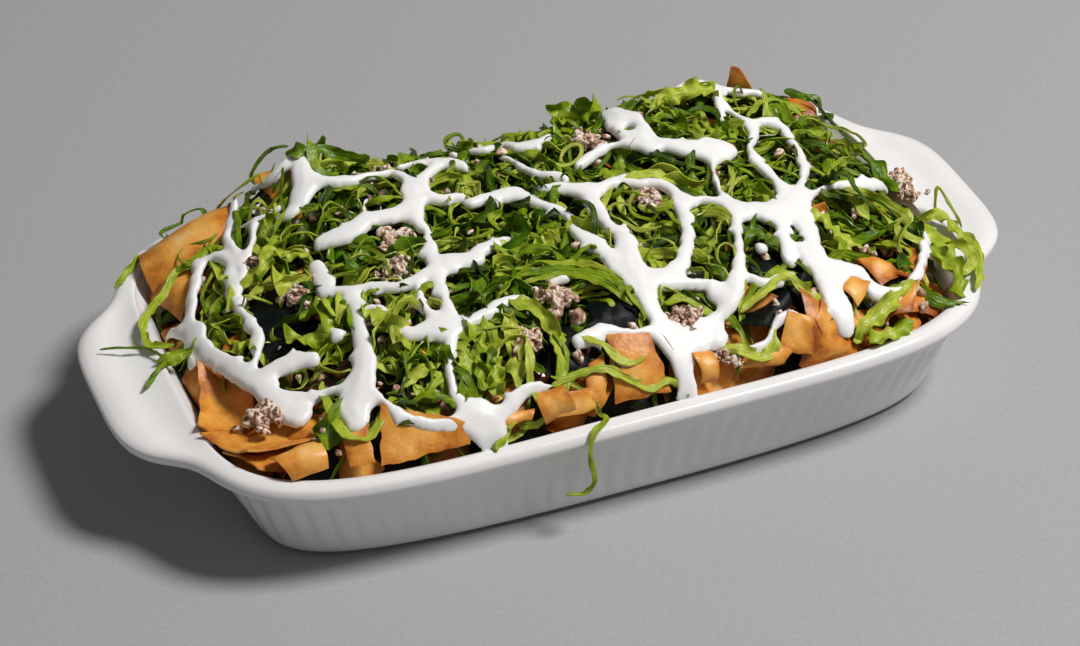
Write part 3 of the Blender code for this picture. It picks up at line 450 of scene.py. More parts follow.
def glazed_porcelain():
    """White porcelain under a clear fired glaze: mirror-like highlights, faintly wavy."""
    material, tree, place = new_material("white glazed porcelain")
    pooling = add(tree, "TexNoise", {"Vector": place, "Scale": per_metre(40), "Detail": 2.0})
    colour = add(tree, "ValToRGB", {"Fac": pooling.outputs["Fac"]},
                 stops=((0.3, "#ebeaea"), (0.7, "#f2f1f1")))
    peel = add(tree, "TexNoise", {"Vector": place, "Scale": per_metre(7), "Detail": 1.0})
    waviness = add(tree, "Bump", {"Height": peel.outputs["Fac"], "Strength": 0.25, "Distance": 0.0002})
    surface(tree, {
        "Base Color": colour.outputs["Color"], "Roughness": 0.14, "IOR": 1.5,
        "Normal": waviness.outputs["Normal"],
        "Subsurface Weight": 0.08, "Subsurface Radius": (1.0, 0.9, 0.8), "Subsurface Scale": 0.002,
    })
    return material


def fried_dough():
    """Thin wheat dough deep-fried crisp: oily satin, blistered, browned at edges and in spots."""
    material, tree, place = new_material("deep-fried wonton dough")
    edge = add(tree, "Attribute", attribute_name="edge").outputs["Fac"]
    tone = add(tree, "Attribute", attribute_name="tone").outputs["Fac"]
    patches = add(tree, "TexNoise", {
        "Vector": place, "Scale": per_metre(11), "Detail": 4.0, "Roughness": 0.6})
    scorch = add(tree, "Math", {0: edge, 1: 0.22}, operation="MULTIPLY")
    base = add(tree, "Math", {0: patches.outputs["Fac"], 1: scorch.outputs[0]}, operation="SUBTRACT")
    shift = add(tree, "MapRange", {"Value": tone, "To Min": -0.12, "To Max": 0.12})
    brownness = add(tree, "Math", {0: base.outputs[0], 1: shift.outputs["Result"]}, operation="ADD")
    colour = add(tree, "ValToRGB", {"Fac": brownness.outputs[0]}, stops=(
        (0.18, "#a15517"), (0.34, "#d6882f"), (0.50, "#eba849"), (0.64, "#f3bc6a"), (0.82, "#f8d8a4")))
    pores = add(tree, "TexNoise", {"Vector": place, "Scale": per_metre(1.3), "Detail": 3.0})
    grain = add(tree, "Bump", {"Height": pores.outputs["Fac"], "Strength": 0.5, "Distance": 0.00035})
    oil = add(tree, "MapRange", {"Value": patches.outputs["Fac"], "To Min": 0.55, "To Max": 0.3})
    surface(tree, {
        "Base Color": colour.outputs["Color"], "Roughness": oil.outputs["Result"], "IOR": 1.45,
        "Normal": grain.outputs["Normal"],
        "Subsurface Weight": 0.15, "Subsurface Radius": (1.0, 0.5, 0.2), "Subsurface Scale": 0.002,
    })
    return material


def lettuce_leaf(name, stops, rib):
    """Cut lettuce: thin, wet and waxy, glowing yellow-green where light comes through."""
    material, tree, place = new_material(name)
    tone = add(tree, "Attribute", attribute_name="tone").outputs["Fac"]
    edge = add(tree, "Attribute", attribute_name="edge").outputs["Fac"]
    span = add(tree, "Attribute", attribute_name="span").outputs["Fac"]
    length_way = add(tree, "Math", {0: span, 1: 0.11}, operation="MULTIPLY")
    leaf_place = add(tree, "CombineXYZ", {"X": length_way.outputs[0], "Y": edge}).outputs["Vector"]
    mottle = add(tree, "TexNoise", {"Vector": place, "Scale": per_metre(9), "Detail": 3.0})
    streaks = add(tree, "TexNoise", {"Vector": leaf_place, "Scale": 2.2, "Detail": 3.0})
    both = add(tree, "Math", {0: mottle.outputs["Fac"], 1: streaks.outputs["Fac"]}, operation="ADD")
    shift = add(tree, "MapRange", {"Value": both.outputs[0], "From Min": 0.6, "From Max": 1.4,
                                   "To Min": -0.35, "To Max": 0.35})
    greenness = add(tree, "Math", {0: tone, 1: shift.outputs["Result"]}, operation="ADD")
    flesh = add(tree, "ValToRGB", {"Fac": greenness.outputs[0]}, stops=stops)
    middle = add(tree, "Math", {0: edge}, operation="ABSOLUTE")
    vein = add(tree, "MapRange", {"Value": middle.outputs[0], "From Min": 0.0, "From Max": 0.3,
                                  "To Min": rib, "To Max": 0.0})
    colour = add(tree, "Mix", {0: vein.outputs["Result"], 6: flesh.outputs["Color"], 7: linear("#bfcb70")},
                 data_type="RGBA")
    grain = add(tree, "Bump", {"Height": streaks.outputs["Fac"], "Strength": 0.7, "Distance": 0.0009})
    leaf = add(tree, "BsdfPrincipled", {
        "Base Color": colour.outputs[2], "Roughness": 0.27, "IOR": 1.4, "Normal": grain.outputs["Normal"]})
    through = add(tree, "BsdfTranslucent", {"Color": colour.outputs[2]})
    whole = add(tree, "MixShader", {0: 0.3, 1: leaf.outputs["BSDF"], 2: through.outputs["BSDF"]})
    add(tree, "OutputMaterial", {"Surface": whole.outputs["Shader"]})
    return material


def crumbled_meat():
    """Minced meat fried in crumbs: matt and fibrous, pinkish brown, with painted shade darkening its cracks
    and painted highlight on its raised bumps.
    """
    material, tree, place = new_material("fried minced meat")
    relief_shade_and_highlight = add(tree, "Attribute", attribute_name="relief").outputs["Fac"]
    mottle = add(tree, "TexNoise", {
        "Vector": place, "Scale": per_metre(2.6), "Detail": 5.0, "Roughness": 0.65})
    height = add(tree, "Math", {0: mottle.outputs["Fac"], 1: relief_shade_and_highlight}, operation="ADD")
    # Colour follows the crumbs' relief: the dark brown in the cracks is painted shade and the near white on
    # the bumps is painted highlight. The mottle is the meat's own tone.
    colour = add(tree, "ValToRGB", {"Fac": height.outputs[0]}, stops=(
        (0.1, "#65402c"), (0.30, "#a57b64"), (0.52, "#d2ad95"), (0.85, "#f6e6d8")))
    fibre = add(tree, "TexNoise", {"Vector": place, "Scale": per_metre(0.9), "Detail": 4.0})
    grain = add(tree, "Bump", {"Height": fibre.outputs["Fac"], "Strength": 0.8, "Distance": 0.0006})
    surface(tree, {
        "Base Color": colour.outputs["Color"], "Roughness": 0.6, "IOR": 1.36,
        "Normal": grain.outputs["Normal"],
        "Subsurface Weight": 0.2, "Subsurface Radius": (1.0, 0.4, 0.25), "Subsurface Scale": 0.002,
    })
    return material


def dried_seaweed():
    """Pressed seaweed softened by the salad's damp: almost black blue-green, speckled gloss."""
    material, tree, place = new_material("pressed dark seaweed")
    fibres = add(tree, "TexNoise", {
        "Vector": place, "Scale": per_metre(1.4), "Detail": 5.0, "Roughness": 0.7})
    colour = add(tree, "ValToRGB", {"Fac": fibres.outputs["Fac"]},
                 stops=((0.35, "#040606"), (0.6, "#0b1311"), (0.8, "#1b2925")))
    gloss = add(tree, "MapRange", {"Value": fibres.outputs["Fac"], "To Min": 0.25, "To Max": 0.5})
    grain = add(tree, "Bump", {"Height": fibres.outputs["Fac"], "Strength": 0.6, "Distance": 0.0004})
    surface(tree, {
        "Base Color": colour.outputs["Color"], "Roughness": gloss.outputs["Result"], "IOR": 1.33,
        "Specular IOR Level": 0.3, "Normal": grain.outputs["Normal"],
    })
    return material


def sour_cream():
    """Thinned sour cream: dense white with a soft wet gloss."""
    material, tree, place = new_material("whipped sour cream")
    folds = add(tree, "TexNoise", {"Vector": place, "Scale": per_metre(14), "Detail": 2.0})
    colour = add(tree, "ValToRGB", {"Fac": folds.outputs["Fac"]},
                 stops=((0.3, "#f3f2f1"), (0.7, "#f9f8f7")))
    swell = add(tree, "Bump", {"Height": folds.outputs["Fac"], "Strength": 0.2, "Distance": 0.0008})
    surface(tree, {
        "Base Color": colour.outputs["Color"], "Roughness": 0.3, "IOR": 1.4,
        "Normal": swell.outputs["Normal"],
        "Subsurface Weight": 0.4, "Subsurface Radius": (1.0, 0.9, 0.8), "Subsurface Scale": 0.002,
    })
    return material


def brown_sauce():
    """Thick soy and chilli sauce: almost black red-brown, with a mirror gloss."""
    material, tree, place = new_material("glossy brown sauce")
    depth = add(tree, "TexNoise", {"Vector": place, "Scale": per_metre(5), "Detail": 3.0})
    colour = add(tree, "ValToRGB", {"Fac": depth.outputs["Fac"]},
                 stops=((0.3, "#1c0a05"), (0.55, "#381509"), (0.75, "#6a2a12")))
    lumps = add(tree, "Bump", {"Height": depth.outputs["Fac"], "Strength": 0.4, "Distance": 0.001})
    surface(tree, {
        "Base Color": colour.outputs["Color"], "Roughness": 0.1, "IOR": 1.45,
        "Normal": lumps.outputs["Normal"],
    })
    return material


def shaded_inside():
    """Inside of the heap in painted shade: leaf, crumbs and gaps, all painted dark as shadow."""
    material, tree, place = new_material("shaded salad")
    mixture = add(tree, "TexNoise", {
        "Vector": place, "Scale": per_metre(7), "Detail": 4.0, "Roughness": 0.7})
    # Near-black greens and browns: the leaf and crumb colours painted dark as shade.
    colour = add(tree, "ValToRGB", {"Fac": mixture.outputs["Fac"]}, stops=(
        (0.35, "#120f06"), (0.5, "#1f260b"), (0.62, "#38250f"), (0.75, "#4c3115")))
    crumbs = add(tree, "TexNoise", {"Vector": place, "Scale": per_metre(3), "Detail": 4.0})
    relief = add(tree, "Bump", {"Height": crumbs.outputs["Fac"], "Strength": 1.0, "Distance": 0.002})
    surface(tree, {
        "Base Color": colour.outputs["Color"], "Roughness": 0.6, "Normal": relief.outputs["Normal"],
    })
    return material


def table_top():
    """Matt painted table top: pale grey with a fine tooth."""
    material, tree, place = new_material("matt pale grey table")
    tooth = add(tree, "TexNoise", {"Vector": place, "Scale": per_metre(1.5), "Detail": 3.0})
    colour = add(tree, "ValToRGB", {"Fac": tooth.outputs["Fac"]},
                 stops=((0.3, "#a5a5a6"), (0.7, "#adadae")))
    surface(tree, {"Base Color": colour.outputs["Color"], "Roughness": 0.75})
    return material


def in_scene(name, data):
    """Object with some data, put in the scene."""
    thing = bpy.data.objects.new(name, data)
    bpy.context.scene.collection.objects.link(thing)
    return thing


def new_piece(name, points, faces, material, slot, crease=180.0, **values):
    """Object from points in millimetres and arrays of faces; values are per point."""
    groups = [np.asarray(group) for group in faces]
    corners = np.concatenate([group.ravel() for group in groups])
    sides = np.concatenate([np.full(len(group), group.shape[1]) for group in groups])
    points = np.asarray(points, float).reshape(-1, 3)
    mesh = bpy.data.meshes.new(name)
    mesh.vertices.add(len(points))
    mesh.vertices.foreach_set("co", (points * MM).astype(np.float32).ravel())
    mesh.loops.add(len(corners))
    mesh.loops.foreach_set("vertex_index", corners.astype(np.int32))
    mesh.polygons.add(len(sides))
    mesh.polygons.foreach_set("loop_start", (np.cumsum(sides) - sides).astype(np.int32))
    mesh.update(calc_edges=True)
    mesh.polygons.foreach_set("use_smooth", np.ones(len(sides), bool))
    mesh.set_sharp_from_angle(angle=math.radians(crease))
    for key, value in values.items():
        attribute = mesh.attributes.new(key, "FLOAT", "POINT")
        attribute.data.foreach_set("value", np.asarray(value, np.float32).ravel())
    mesh.materials.append(material)
    piece = in_scene(name, mesh)
    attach(piece, "root")
    return piece


def smoothstep(value):
    """Eased rise from 0 to 1."""
    value = np.clip(value, 0.0, 1.0)
    return value * value * (3 - 2 * value)


def mix(first, second, share):
    """Value a share of the way from the first to the second."""
    return first + (second - first) * share


def unit(vectors):
    """Vectors brought to a length of one."""
    return vectors / np.maximum(np.linalg.norm(vectors, axis=-1, keepdims=True), 1e-9)


def ripple(points, size, seed):
    """Smooth random field over points, mostly within -1 to 1, with lumps of about a size."""
    draws = np.random.default_rng(seed)
    directions = draws.normal(size=(10, points.shape[-1]))
    directions /= np.linalg.norm(directions, axis=1, keepdims=True)
    directions *= draws.uniform(0.6, 1.6, (10, 1)) * math.pi / size
    phases = draws.uniform(0, 2 * math.pi, 10)
    return np.sin(points @ directions.T + phases).mean(axis=-1) * 2.2


def curve_point(before, start, end, after, t):
    """Place a share t of the way from start to end, on a smooth curve that also passes their neighbours."""
    return 0.5 * (
        2 * start + (end - before) * t
        + (2 * before - 5 * start + 4 * end - after) * t ** 2
        + (3 * start - before - 3 * end + after) * t ** 3)


def joined(parts):
    """Points, faces and values of several bodies as those of one."""
    points, faces, *values = zip(*parts)
    starts = np.cumsum([0] + [len(part) for part in points])
    faces = [part + start for part, start in zip(faces, starts)]
    return [np.concatenate(column) for column in (points, faces, *values)]


def closed_stack(rings, bottom_height, top_height):
    """Points and faces of a body made of rings from the bottom up, closed at its middle."""
    levels, count = rings.shape[:2]
    here = np.arange(count)
    there = (here + 1) % count
    sides = [np.stack([k * count + here, k * count + there, (k + 1) * count + there,
                       (k + 1) * count + here], axis=-1) for k in range(levels - 1)]
    points = np.concatenate([rings.reshape(-1, 3), [[0, 0, bottom_height], [0, 0, top_height]]])
    bottom = np.stack([there, here, np.full(count, len(points) - 2)], axis=-1)
    last = (levels - 1) * count
    top = np.stack([last + here, last + there, np.full(count, len(points) - 1)], axis=-1)
    return points, [np.concatenate(sides), bottom, top]


def heap_height(x, y):
    """Mean top of the heap over places in the dish."""
    along = np.minimum(np.abs(x) / HEAP_SPREAD[0], 1.0)
    across = np.minimum(np.abs(y) / HEAP_SPREAD[1], 1.0)
    height = HEAP_EDGE + HEAP_RISE * (1 - along ** 3.2) ** 0.8 * (1 - across ** 3.6) ** 0.8
    fade = (1 - along ** 6) * (1 - across ** 6)
    return with_bumps(height, x, y, MOUNDS, fade)


def proud_height(x, y):
    """Top of the heap with the places where leaves stand proud of it."""
    return with_bumps(heap_height(x, y), x, y, PROUD, 1.0)


def with_bumps(height, x, y, bumps, share):
    """Heights with round bumps added, each given as x, y, rise, radius."""
    for bump_x, bump_y, rise, radius in bumps:
        distance = (x - bump_x) ** 2 + (y - bump_y) ** 2
        height = height + share * rise * np.exp(-distance / radius ** 2)
    return height


def outline_radius(angles, shape):
    """Distances from the middle to |x/a|^p + |y/b|^q = 1 in the directions of angles."""
    half_x, half_y, power_x, power_y = shape
    along = np.abs(np.cos(angles)) / half_x
    across = np.abs(np.sin(angles)) / half_y
    low = np.zeros_like(angles)
    high = np.full_like(angles, half_x + half_y)
    for _ in range(40):
        middle = (low + high) / 2
        within = (middle * along) ** power_x + (middle * across) ** power_y < 1.0
        low = np.where(within, middle, low)
        high = np.where(within, high, middle)
    return low


def even_angles(count):
    """Angles whose points lie evenly round the top of the wall."""
    angles = np.linspace(0, 2 * math.pi, 8001)
    radii = outline_radius(angles, WALL_TOP)
    steps = np.hypot(np.diff(radii), radii[1:] * np.diff(angles))
    lengths = np.concatenate([[0.0], np.cumsum(steps)])
    return np.interp(np.arange(count) * lengths[-1] / count, lengths, angles)


def smooth_rings(control):
    """Rings on a smooth curve through the control rings."""
    rings = []
    last = len(control) - 1
    for k in range(last):
        for i in range(SPANS):
            rings.append(curve_point(control[max(k - 1, 0)], control[k], control[k + 1],
                                     control[min(k + 2, last)], i / SPANS))
    rings.append(control[last])
    return np.array(rings)


def up_wall(height):
    """How far up the wall a height lies, as the share by which it has leant out."""
    return ((height - FOOT_HEIGHT) / (GROOVE_HEIGHT - FOOT_HEIGHT)) ** WALL_CURVE


def dish_profile(angles):
    """Radius and height of the rings of the dish, from under its foot round the rim to its floor."""
    body = outline_radius(angles, RIM)
    handle = outline_radius(angles, HANDLE)
    rim = (body ** HANDLE_BLEND + handle ** HANDLE_BLEND) ** (1 / HANDLE_BLEND)
    share = smoothstep((rim - body) / HANDLE_EASE)
    wall_top = outline_radius(angles, WALL_TOP)
    foot = outline_radius(angles, WALL_FOOT)
    lip = outline_radius(angles, LIP)
    crest = body - CREST_INSET

    def wall(height):
        return mix(foot, wall_top, up_wall(height))

    # Where share mixes two shapes, the first is the rim along the body and the second a handle.
    profile = [
        (foot * CENTRE, RECESS_HEIGHT), (foot * 0.5, RECESS_HEIGHT), (foot - 16.0, RECESS_HEIGHT),
        (foot - 13.5, 0.1), (foot - 12.5, 0.0), (foot - 5.5, 0.0), (foot - 3.0, 0.5), (foot - 0.9, 1.8),
        *[(wall(height), height) for height in (4.0, 8.0, 15.0, 22.0, 27.0, 29.6)],
        (wall_top + 0.1, 30.9),
        (mix(wall_top + 1.0, rim - 6.0, share), mix(31.5, 30.9, share)),
        (rim - 2.2, mix(31.9, 31.1, share)), (rim - 0.5, mix(33.1, 32.2, share)),
        (rim, mix(34.6, 33.8, share)), (rim - 0.5, mix(36.0, 35.6, share)),
        (mix(crest, rim, 0.74), mix(37.1, 37.0, share)), (mix(crest, rim, 0.45), mix(37.7, 36.1, share)),
        (mix(crest, rim, 0.18), mix(37.95, 36.9, share)), (crest, RIM_HEIGHT),
        (mix(lip, crest, 0.35), RIM_HEIGHT - 0.5), (lip, LIP_HEIGHT),
        (mix(wall_top - 5.0, lip, 0.4), 33.6), (wall_top - INSIDE[-1][1], GROOVE_HEIGHT),
        *[(wall(height) - inset, height) for height, inset in INSIDE[-2::-1]],
        (foot * 0.5, FLOOR), (foot * CENTRE, FLOOR),
    ]
    return smooth_rings(np.array([np.stack(np.broadcast_arrays(radius, height), axis=-1)
                                  for radius, height in profile]))


def make_dish(material):
    """Foot ring, ribbed wall, rolled rim with two flange handles, and the hollow inside."""
    angles = even_angles(RIBS * POINTS_A_RIB)
    rings = dish_profile(angles)
    radius, height = rings[..., 0], rings[..., 1]
    low = outline_radius(angles, WALL_FOOT)[None] * 0.97
    phase = np.cos(np.arange(len(angles)) * 2 * math.pi / POINTS_A_RIB)
    flute = ((1 - phase) / 2) ** 1.6
    band = smoothstep((height - RIB_BOTTOM) / 3.0) * smoothstep((RIB_TOP - height) / 2.2)
    outside = (np.arange(len(rings)) < RIBBED_RINGS * SPANS)[:, None] & (radius > low)
    radius = radius - RIB_DEPTH * flute[None] * band * outside
    points = np.stack([radius * np.cos(angles), radius * np.sin(angles), height], axis=-1)
    points, faces = closed_stack(points, RECESS_HEIGHT, FLOOR)
    piece = new_piece("gratin_dish", points, faces, material, "porcelain")
    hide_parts("dish")


def well_share(x, y, shape=WELL):
    """Below 1 inside the dish's hollow, above 1 outside it."""
    half_x, half_y, power_x, power_y = shape
    return (np.abs(x) / half_x) ** power_x + (np.abs(y) / half_y) ** power_y


def inside_of_wall(x, y, z):
    """How far from the middle the inside of the wall lies, in the direction and at the height of places."""
    turns = np.linspace(0, 2 * math.pi, 1441)
    angles = np.arctan2(y, x) % (2 * math.pi)
    foot, top, lip = (np.interp(angles, turns, outline_radius(turns, shape))
                      for shape in (WALL_FOOT, WALL_TOP, LIP))
    heights, insets = np.array(INSIDE).T
    below = mix(foot, top, up_wall(np.clip(z, FOOT_HEIGHT, GROOVE_HEIGHT))) - np.interp(z, heights, insets)
    up_lip = np.clip((z - GROOVE_HEIGHT) / (LIP_HEIGHT - GROOVE_HEIGHT), 0.0, 1.0)
    return np.where(z < GROOVE_HEIGHT, below, mix(top - INSIDE[-1][1], lip, up_lip))


def keep_in_dish(points, room=0.9):
    """Food below the rim is drawn in from the wall; food past the lip lies on the rim or above."""
    x, y, z = np.moveaxis(points, -1, 0)
    limit = inside_of_wall(x, y, z) - room
    reach = np.hypot(x, y)
    pull = np.where((reach > limit) & (z < RIM_HEIGHT + 0.4), limit / np.maximum(reach, 1.0), 1.0)
    points[..., 0] *= pull
    points[..., 1] *= pull
    return points


def make_core(material):
    """Inside of the heap, painted dark as shade, that shows in the gaps between shreds and crisps."""
    angles = even_angles(CORE_POINTS)
    edge = outline_radius(angles, WELL) - 1.5
    directions = np.stack([np.cos(angles), np.sin(angles)], axis=-1)
    rings = []
    for inset, height in CORE_SIDE:
        flat = directions * (edge - inset)[:, None]
        rings.append(np.concatenate([flat, np.full((CORE_POINTS, 1), height)], axis=-1))
    side_top = CORE_SIDE[-1][1]
    seed = SEEDS["core"]
    for share in np.linspace(0.985, 0.04, CORE_RINGS):
        flat = directions * (edge * share)[:, None]
        height = heap_height(flat[:, 0], flat[:, 1]) - CORE_DEPTH
        height = height + 2.6 * ripple(flat, 9.0, seed) + 1.2 * ripple(flat, 3.5, seed + 1)
        height = np.minimum(height, mix(side_top, 60.0, smoothstep((1 - share) / 0.3)))
        rings.append(np.concatenate([flat, height[:, None]], axis=-1))
    rings = keep_in_dish(np.array(rings), CORE_ROOM)
    points, faces = closed_stack(rings, CORE_SIDE[0][1], rings[-1, :, 2].mean())
    piece = new_piece("heap_inside", points, faces, material, "salad")
    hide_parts("salad_heap")


def sheet_faces(rows, columns):
    """Faces of a closed sheet: two layers of rows by columns of points, joined at their border."""
    layer = rows * columns
    row = np.arange(rows - 1)[:, None]
    column = np.arange(columns - 1)[None]
    a = (row * columns + column).ravel()
    top = np.stack([a, a + 1, a + columns + 1, a + columns], axis=-1)
    bottom = top[:, ::-1] + layer
    border = np.concatenate([
        np.arange(columns), np.arange(1, rows) * columns + columns - 1,
        (rows - 1) * columns + np.arange(columns - 2, -1, -1), np.arange(rows - 2, 0, -1) * columns])
    after = np.roll(border, -1)
    side = np.stack([after, border, border + layer, after + layer], axis=-1)
    return np.concatenate([top, bottom, side])


def bent_sheet(corners, bow_along, bow_across, thickness, seed,
               cells=22, wave=0.55, blister=0.4, ragged=0.45):
    """Points, faces and edge share of a wavy sheet between four corners given over the heap."""
    draws = np.random.default_rng(seed)
    anchors = np.array([(x, y, heap_height(x, y) + lift) for x, y, lift in corners], float)
    up = np.cross(anchors[1] - anchors[0], anchors[3] - anchors[0])
    if up[2] < 0:
        anchors = anchors[[1, 0, 3, 2]]
        up = -up
    up /= np.linalg.norm(up)
    u, v = (grid[..., None] for grid in np.meshgrid(np.linspace(0, 1, cells), np.linspace(0, 1, cells)))
    flat = mix(mix(anchors[0], anchors[1], u), mix(anchors[3], anchors[2], u), v)
    span = np.linalg.norm(anchors[0] - anchors[2])
    shift = np.stack([ripple(flat, 4.0, seed + 1), ripple(flat, 4.0, seed + 2)], axis=-1)
    edge = np.maximum(np.abs(2 * u - 1), np.abs(2 * v - 1))[..., 0]
    along = (anchors[1] - anchors[0]) / np.linalg.norm(anchors[1] - anchors[0])
    across = np.cross(up, along)
    flat = flat + ragged * (shift[..., :1] * along + shift[..., 1:] * across) * edge[..., None] ** 2
    bow = bow_along * 4 * u * (1 - u) + bow_across * 4 * v * (1 - v)
    rise = wave * ripple(flat, 0.35 * span + 3.0, seed + 3) + 0.3 * wave * ripple(flat, 3.2, seed + 4)
    for _ in range(int(span / 5)):
        near = mix(anchors[0], anchors[1], draws.uniform())
        far = mix(anchors[3], anchors[2], draws.uniform())
        spot = mix(near, far, draws.uniform())
        reach = draws.uniform(1.4, 3.6)
        distance = np.linalg.norm(flat - spot, axis=-1)
        rise = rise + blister * draws.uniform(0.3, 1.0) * np.exp(-(distance / reach) ** 2)
    middle = flat + up * (bow + rise[..., None])
    normal = np.cross(np.gradient(middle, axis=1), np.gradient(middle, axis=0))
    normal /= np.linalg.norm(normal, axis=-1, keepdims=True)
    half = thickness / 2 * (1 - 0.5 * edge[..., None] ** 6)
    points = np.stack([middle + normal * half, middle - normal * half])
    return points.reshape(-1, 3), sheet_faces(cells, cells), np.tile(edge.ravel(), 2)


def soaked(x):
    """How much darker sauce has made a crisp towards the right end."""
    return 0.5 * smoothstep((x - 85) / 25)


def make_crisps(material):
    """Crisps that show as pieces of their own, each in its own place."""
    made = []
    for number, (name, (corners, bow_along, bow_across)) in enumerate(CRISPS.items()):
        points, faces, edge = bent_sheet(
            corners, bow_along, bow_across, CRISP_THICKNESS, SEEDS["crisps"] + 7 * number)
        points = keep_in_dish(points)
        tone = np.random.default_rng(number).uniform(0.45, 0.9) - soaked(points[0, 0])
        tone = np.full(len(points), tone)
        piece = new_piece("crisp_" + name, points, [faces], material, "fried_dough", 60,
                          edge=edge, tone=tone)
        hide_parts("chip_" + name)
        made.append(points)
    return made


def loose_corners(draws, x, y):
    """Corners of a crisp of no set shape at a place, sometimes drawn in to three corners."""
    size = draws.uniform(9, 16)
    turn = draws.uniform(0, 2 * math.pi)
    slope = draws.normal(0, 0.28, 2)
    corners = []
    for k, reach in enumerate(draws.uniform(0.65, 1.15, 4)):
        angle = turn + k * math.pi / 2 + draws.normal(0, 0.2)
        step_x = size * reach * math.cos(angle)
        step_y = size * reach * math.sin(angle)
        lift = slope[0] * step_x + slope[1] * step_y - draws.uniform(5.5, 9.0)
        corners.append((x + step_x, y + step_y, lift))
    if draws.uniform() < 0.35:
        corners[3] = tuple(mix(np.array(corners[3]), np.array(corners[0]), 0.85))
    return corners


def make_tucked_in_crisps(material):
    """Crisps tucked in below and between the others, all round the dish and down its front."""
    draws = np.random.default_rng(SEEDS["tucked_in"])
    fields = [(across, along) for count, across, along in TUCKED_IN for _ in range(count)]
    parts = []
    for number, (across, along) in enumerate(fields):
        x = draws.uniform(*across)
        y = draws.uniform(*along)
        if well_share(x * 1.04, y * 1.04) > 1:
            continue
        corners = loose_corners(draws, x, y)
        points, faces, edge = bent_sheet(corners, draws.normal(0, 2.5), draws.normal(0, 2.5), CRISP_THICKNESS,
                                         SEEDS["tucked_in_shapes"] + 11 * number, cells=13)
        tone = np.full(len(points), draws.uniform(0.1, 0.7) - soaked(x))
        parts.append((keep_in_dish(points), faces, edge, tone))
    points, faces, edge, tone = joined(parts)
    new_piece("tucked_in_crisps", points, [faces], material, "fried_dough", 60, edge=edge, tone=tone)
    return points


def make_seaweed(material):
    """Soft sheets of seaweed that lie in hollows among the shreds, their edges curled."""
    made = []
    for number, (name, (corners, bow_along, bow_across)) in enumerate(SEAWEED.items()):
        points, faces, _ = bent_sheet(corners, bow_along, bow_across, SEAWEED_THICKNESS,
                                      SEEDS["seaweed"] + 7 * number, wave=1.0, blister=0.3, ragged=1.4)
        piece = new_piece("seaweed_sheet_" + name, points, [faces], material, "seaweed", 60)
        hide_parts("seaweed_" + name)
        made.append(points)
    return made


def ball(subdivisions):
    """Points and faces of a unit ball of triangles."""
    work = bmesh.new()
    bmesh.ops.create_icosphere(work, subdivisions=subdivisions, radius=1.0)
    points = np.array([vertex.co[:] for vertex in work.verts])
    faces = np.array([[vertex.index for vertex in face.verts] for face in work.faces])
    work.free()
    return points, faces


def crumb(draws, shape, size):
    """Points and relief of one crumb of meat, broken off along rough faces."""
    sides = unit(draws.normal(size=(9, 3)))
    reach = draws.uniform(0.5, 0.95, 9)
    near = (np.maximum(shape @ sides.T, 0.05) / reach) ** 12
    radius = np.minimum(near.sum(axis=1) ** (-1 / 12), 1.15)
    stretch = size * draws.uniform(0.55, 1.5, 3)
    turned = np.linalg.qr(draws.normal(size=(3, 3)))[0]
    seed = int(draws.integers(1 << 30))
    relief = 0.6 * ripple(shape, 0.5, seed) + 0.4 * ripple(shape, 0.22, seed + 1)
    return (shape * (radius * (1 + 0.2 * relief))[:, None] * stretch) @ turned, relief


def make_meat(material):
    """Clumps of minced meat, each a heap of rough crumbs grown together."""
    large = ball(3)
    small = ball(2)
    made = []
    for number, (name, (x, y, radius)) in enumerate(CLUMPS.items()):
        draws = np.random.default_rng(SEEDS["meat"] + number)
        parts = []
        base = heap_height(x, y) if well_share(x, y) < 1 else RIM_HEIGHT + 0.5
        count = int(12 + radius * 4)
        for k in range(count):
            angle = k * 2.4 + draws.normal(0, 0.3)
            uneven = 1 + 0.25 * math.sin(2 * angle + x)
            reach = radius * math.sqrt(k / count) * draws.uniform(0.6, 1.1) * uneven
            is_large = k % 3 == 0
            size = radius * (draws.uniform(0.24, 0.42) if is_large else draws.uniform(0.08, 0.22))
            shape, faces = large if is_large else small
            lump, relief = crumb(draws, shape, size)
            rise = 0.5 * radius * (1 - (reach / radius) ** 2) * draws.uniform(0.3, 1.3)
            place = (x + reach * math.cos(angle), y + reach * math.sin(angle), base + rise)
            parts.append((lump + place, faces, relief))
        points, faces, relief = joined(parts)
        # relief also colours the crumbs: painted shade in the cracks, painted highlight on the bumps.
        piece = new_piece("meat_clump_" + name, points, [faces], material, "meat",
                          relief=np.clip(relief, -0.5, 0.8))
        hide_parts("meat_" + name)
        made.append(points)
    return made


def make_loose_crumbs(material):
    """Single crumbs of meat scattered through the salad and on the rim."""
    shape, faces = ball(2)
    draws = np.random.default_rng(SEEDS["loose_crumbs"])
    spots = [(x, y, 1.0) for x, y in draws.uniform(*CRUMB_FIELD, (CRUMBS, 2))]
    parts = []
    for x, y, part in spots + list(CRUMBS_BESIDE):
        lump, relief = crumb(draws, shape, draws.uniform(0.8, 2.3) * part)
        inside = well_share(x, y) < 1
        base = heap_height(x, y) + draws.uniform(-3.0, 2.2) if inside else RIM_HEIGHT - 0.5
        parts.append((lump + (x, y, base), faces, relief))
    points, faces, relief = joined(parts)
    # relief also colours the crumbs: painted shade in the cracks, painted highlight on the bumps.
    new_piece("loose_crumbs", points, [faces], material, "meat", relief=np.clip(relief, -0.4, 0.8))
    return points


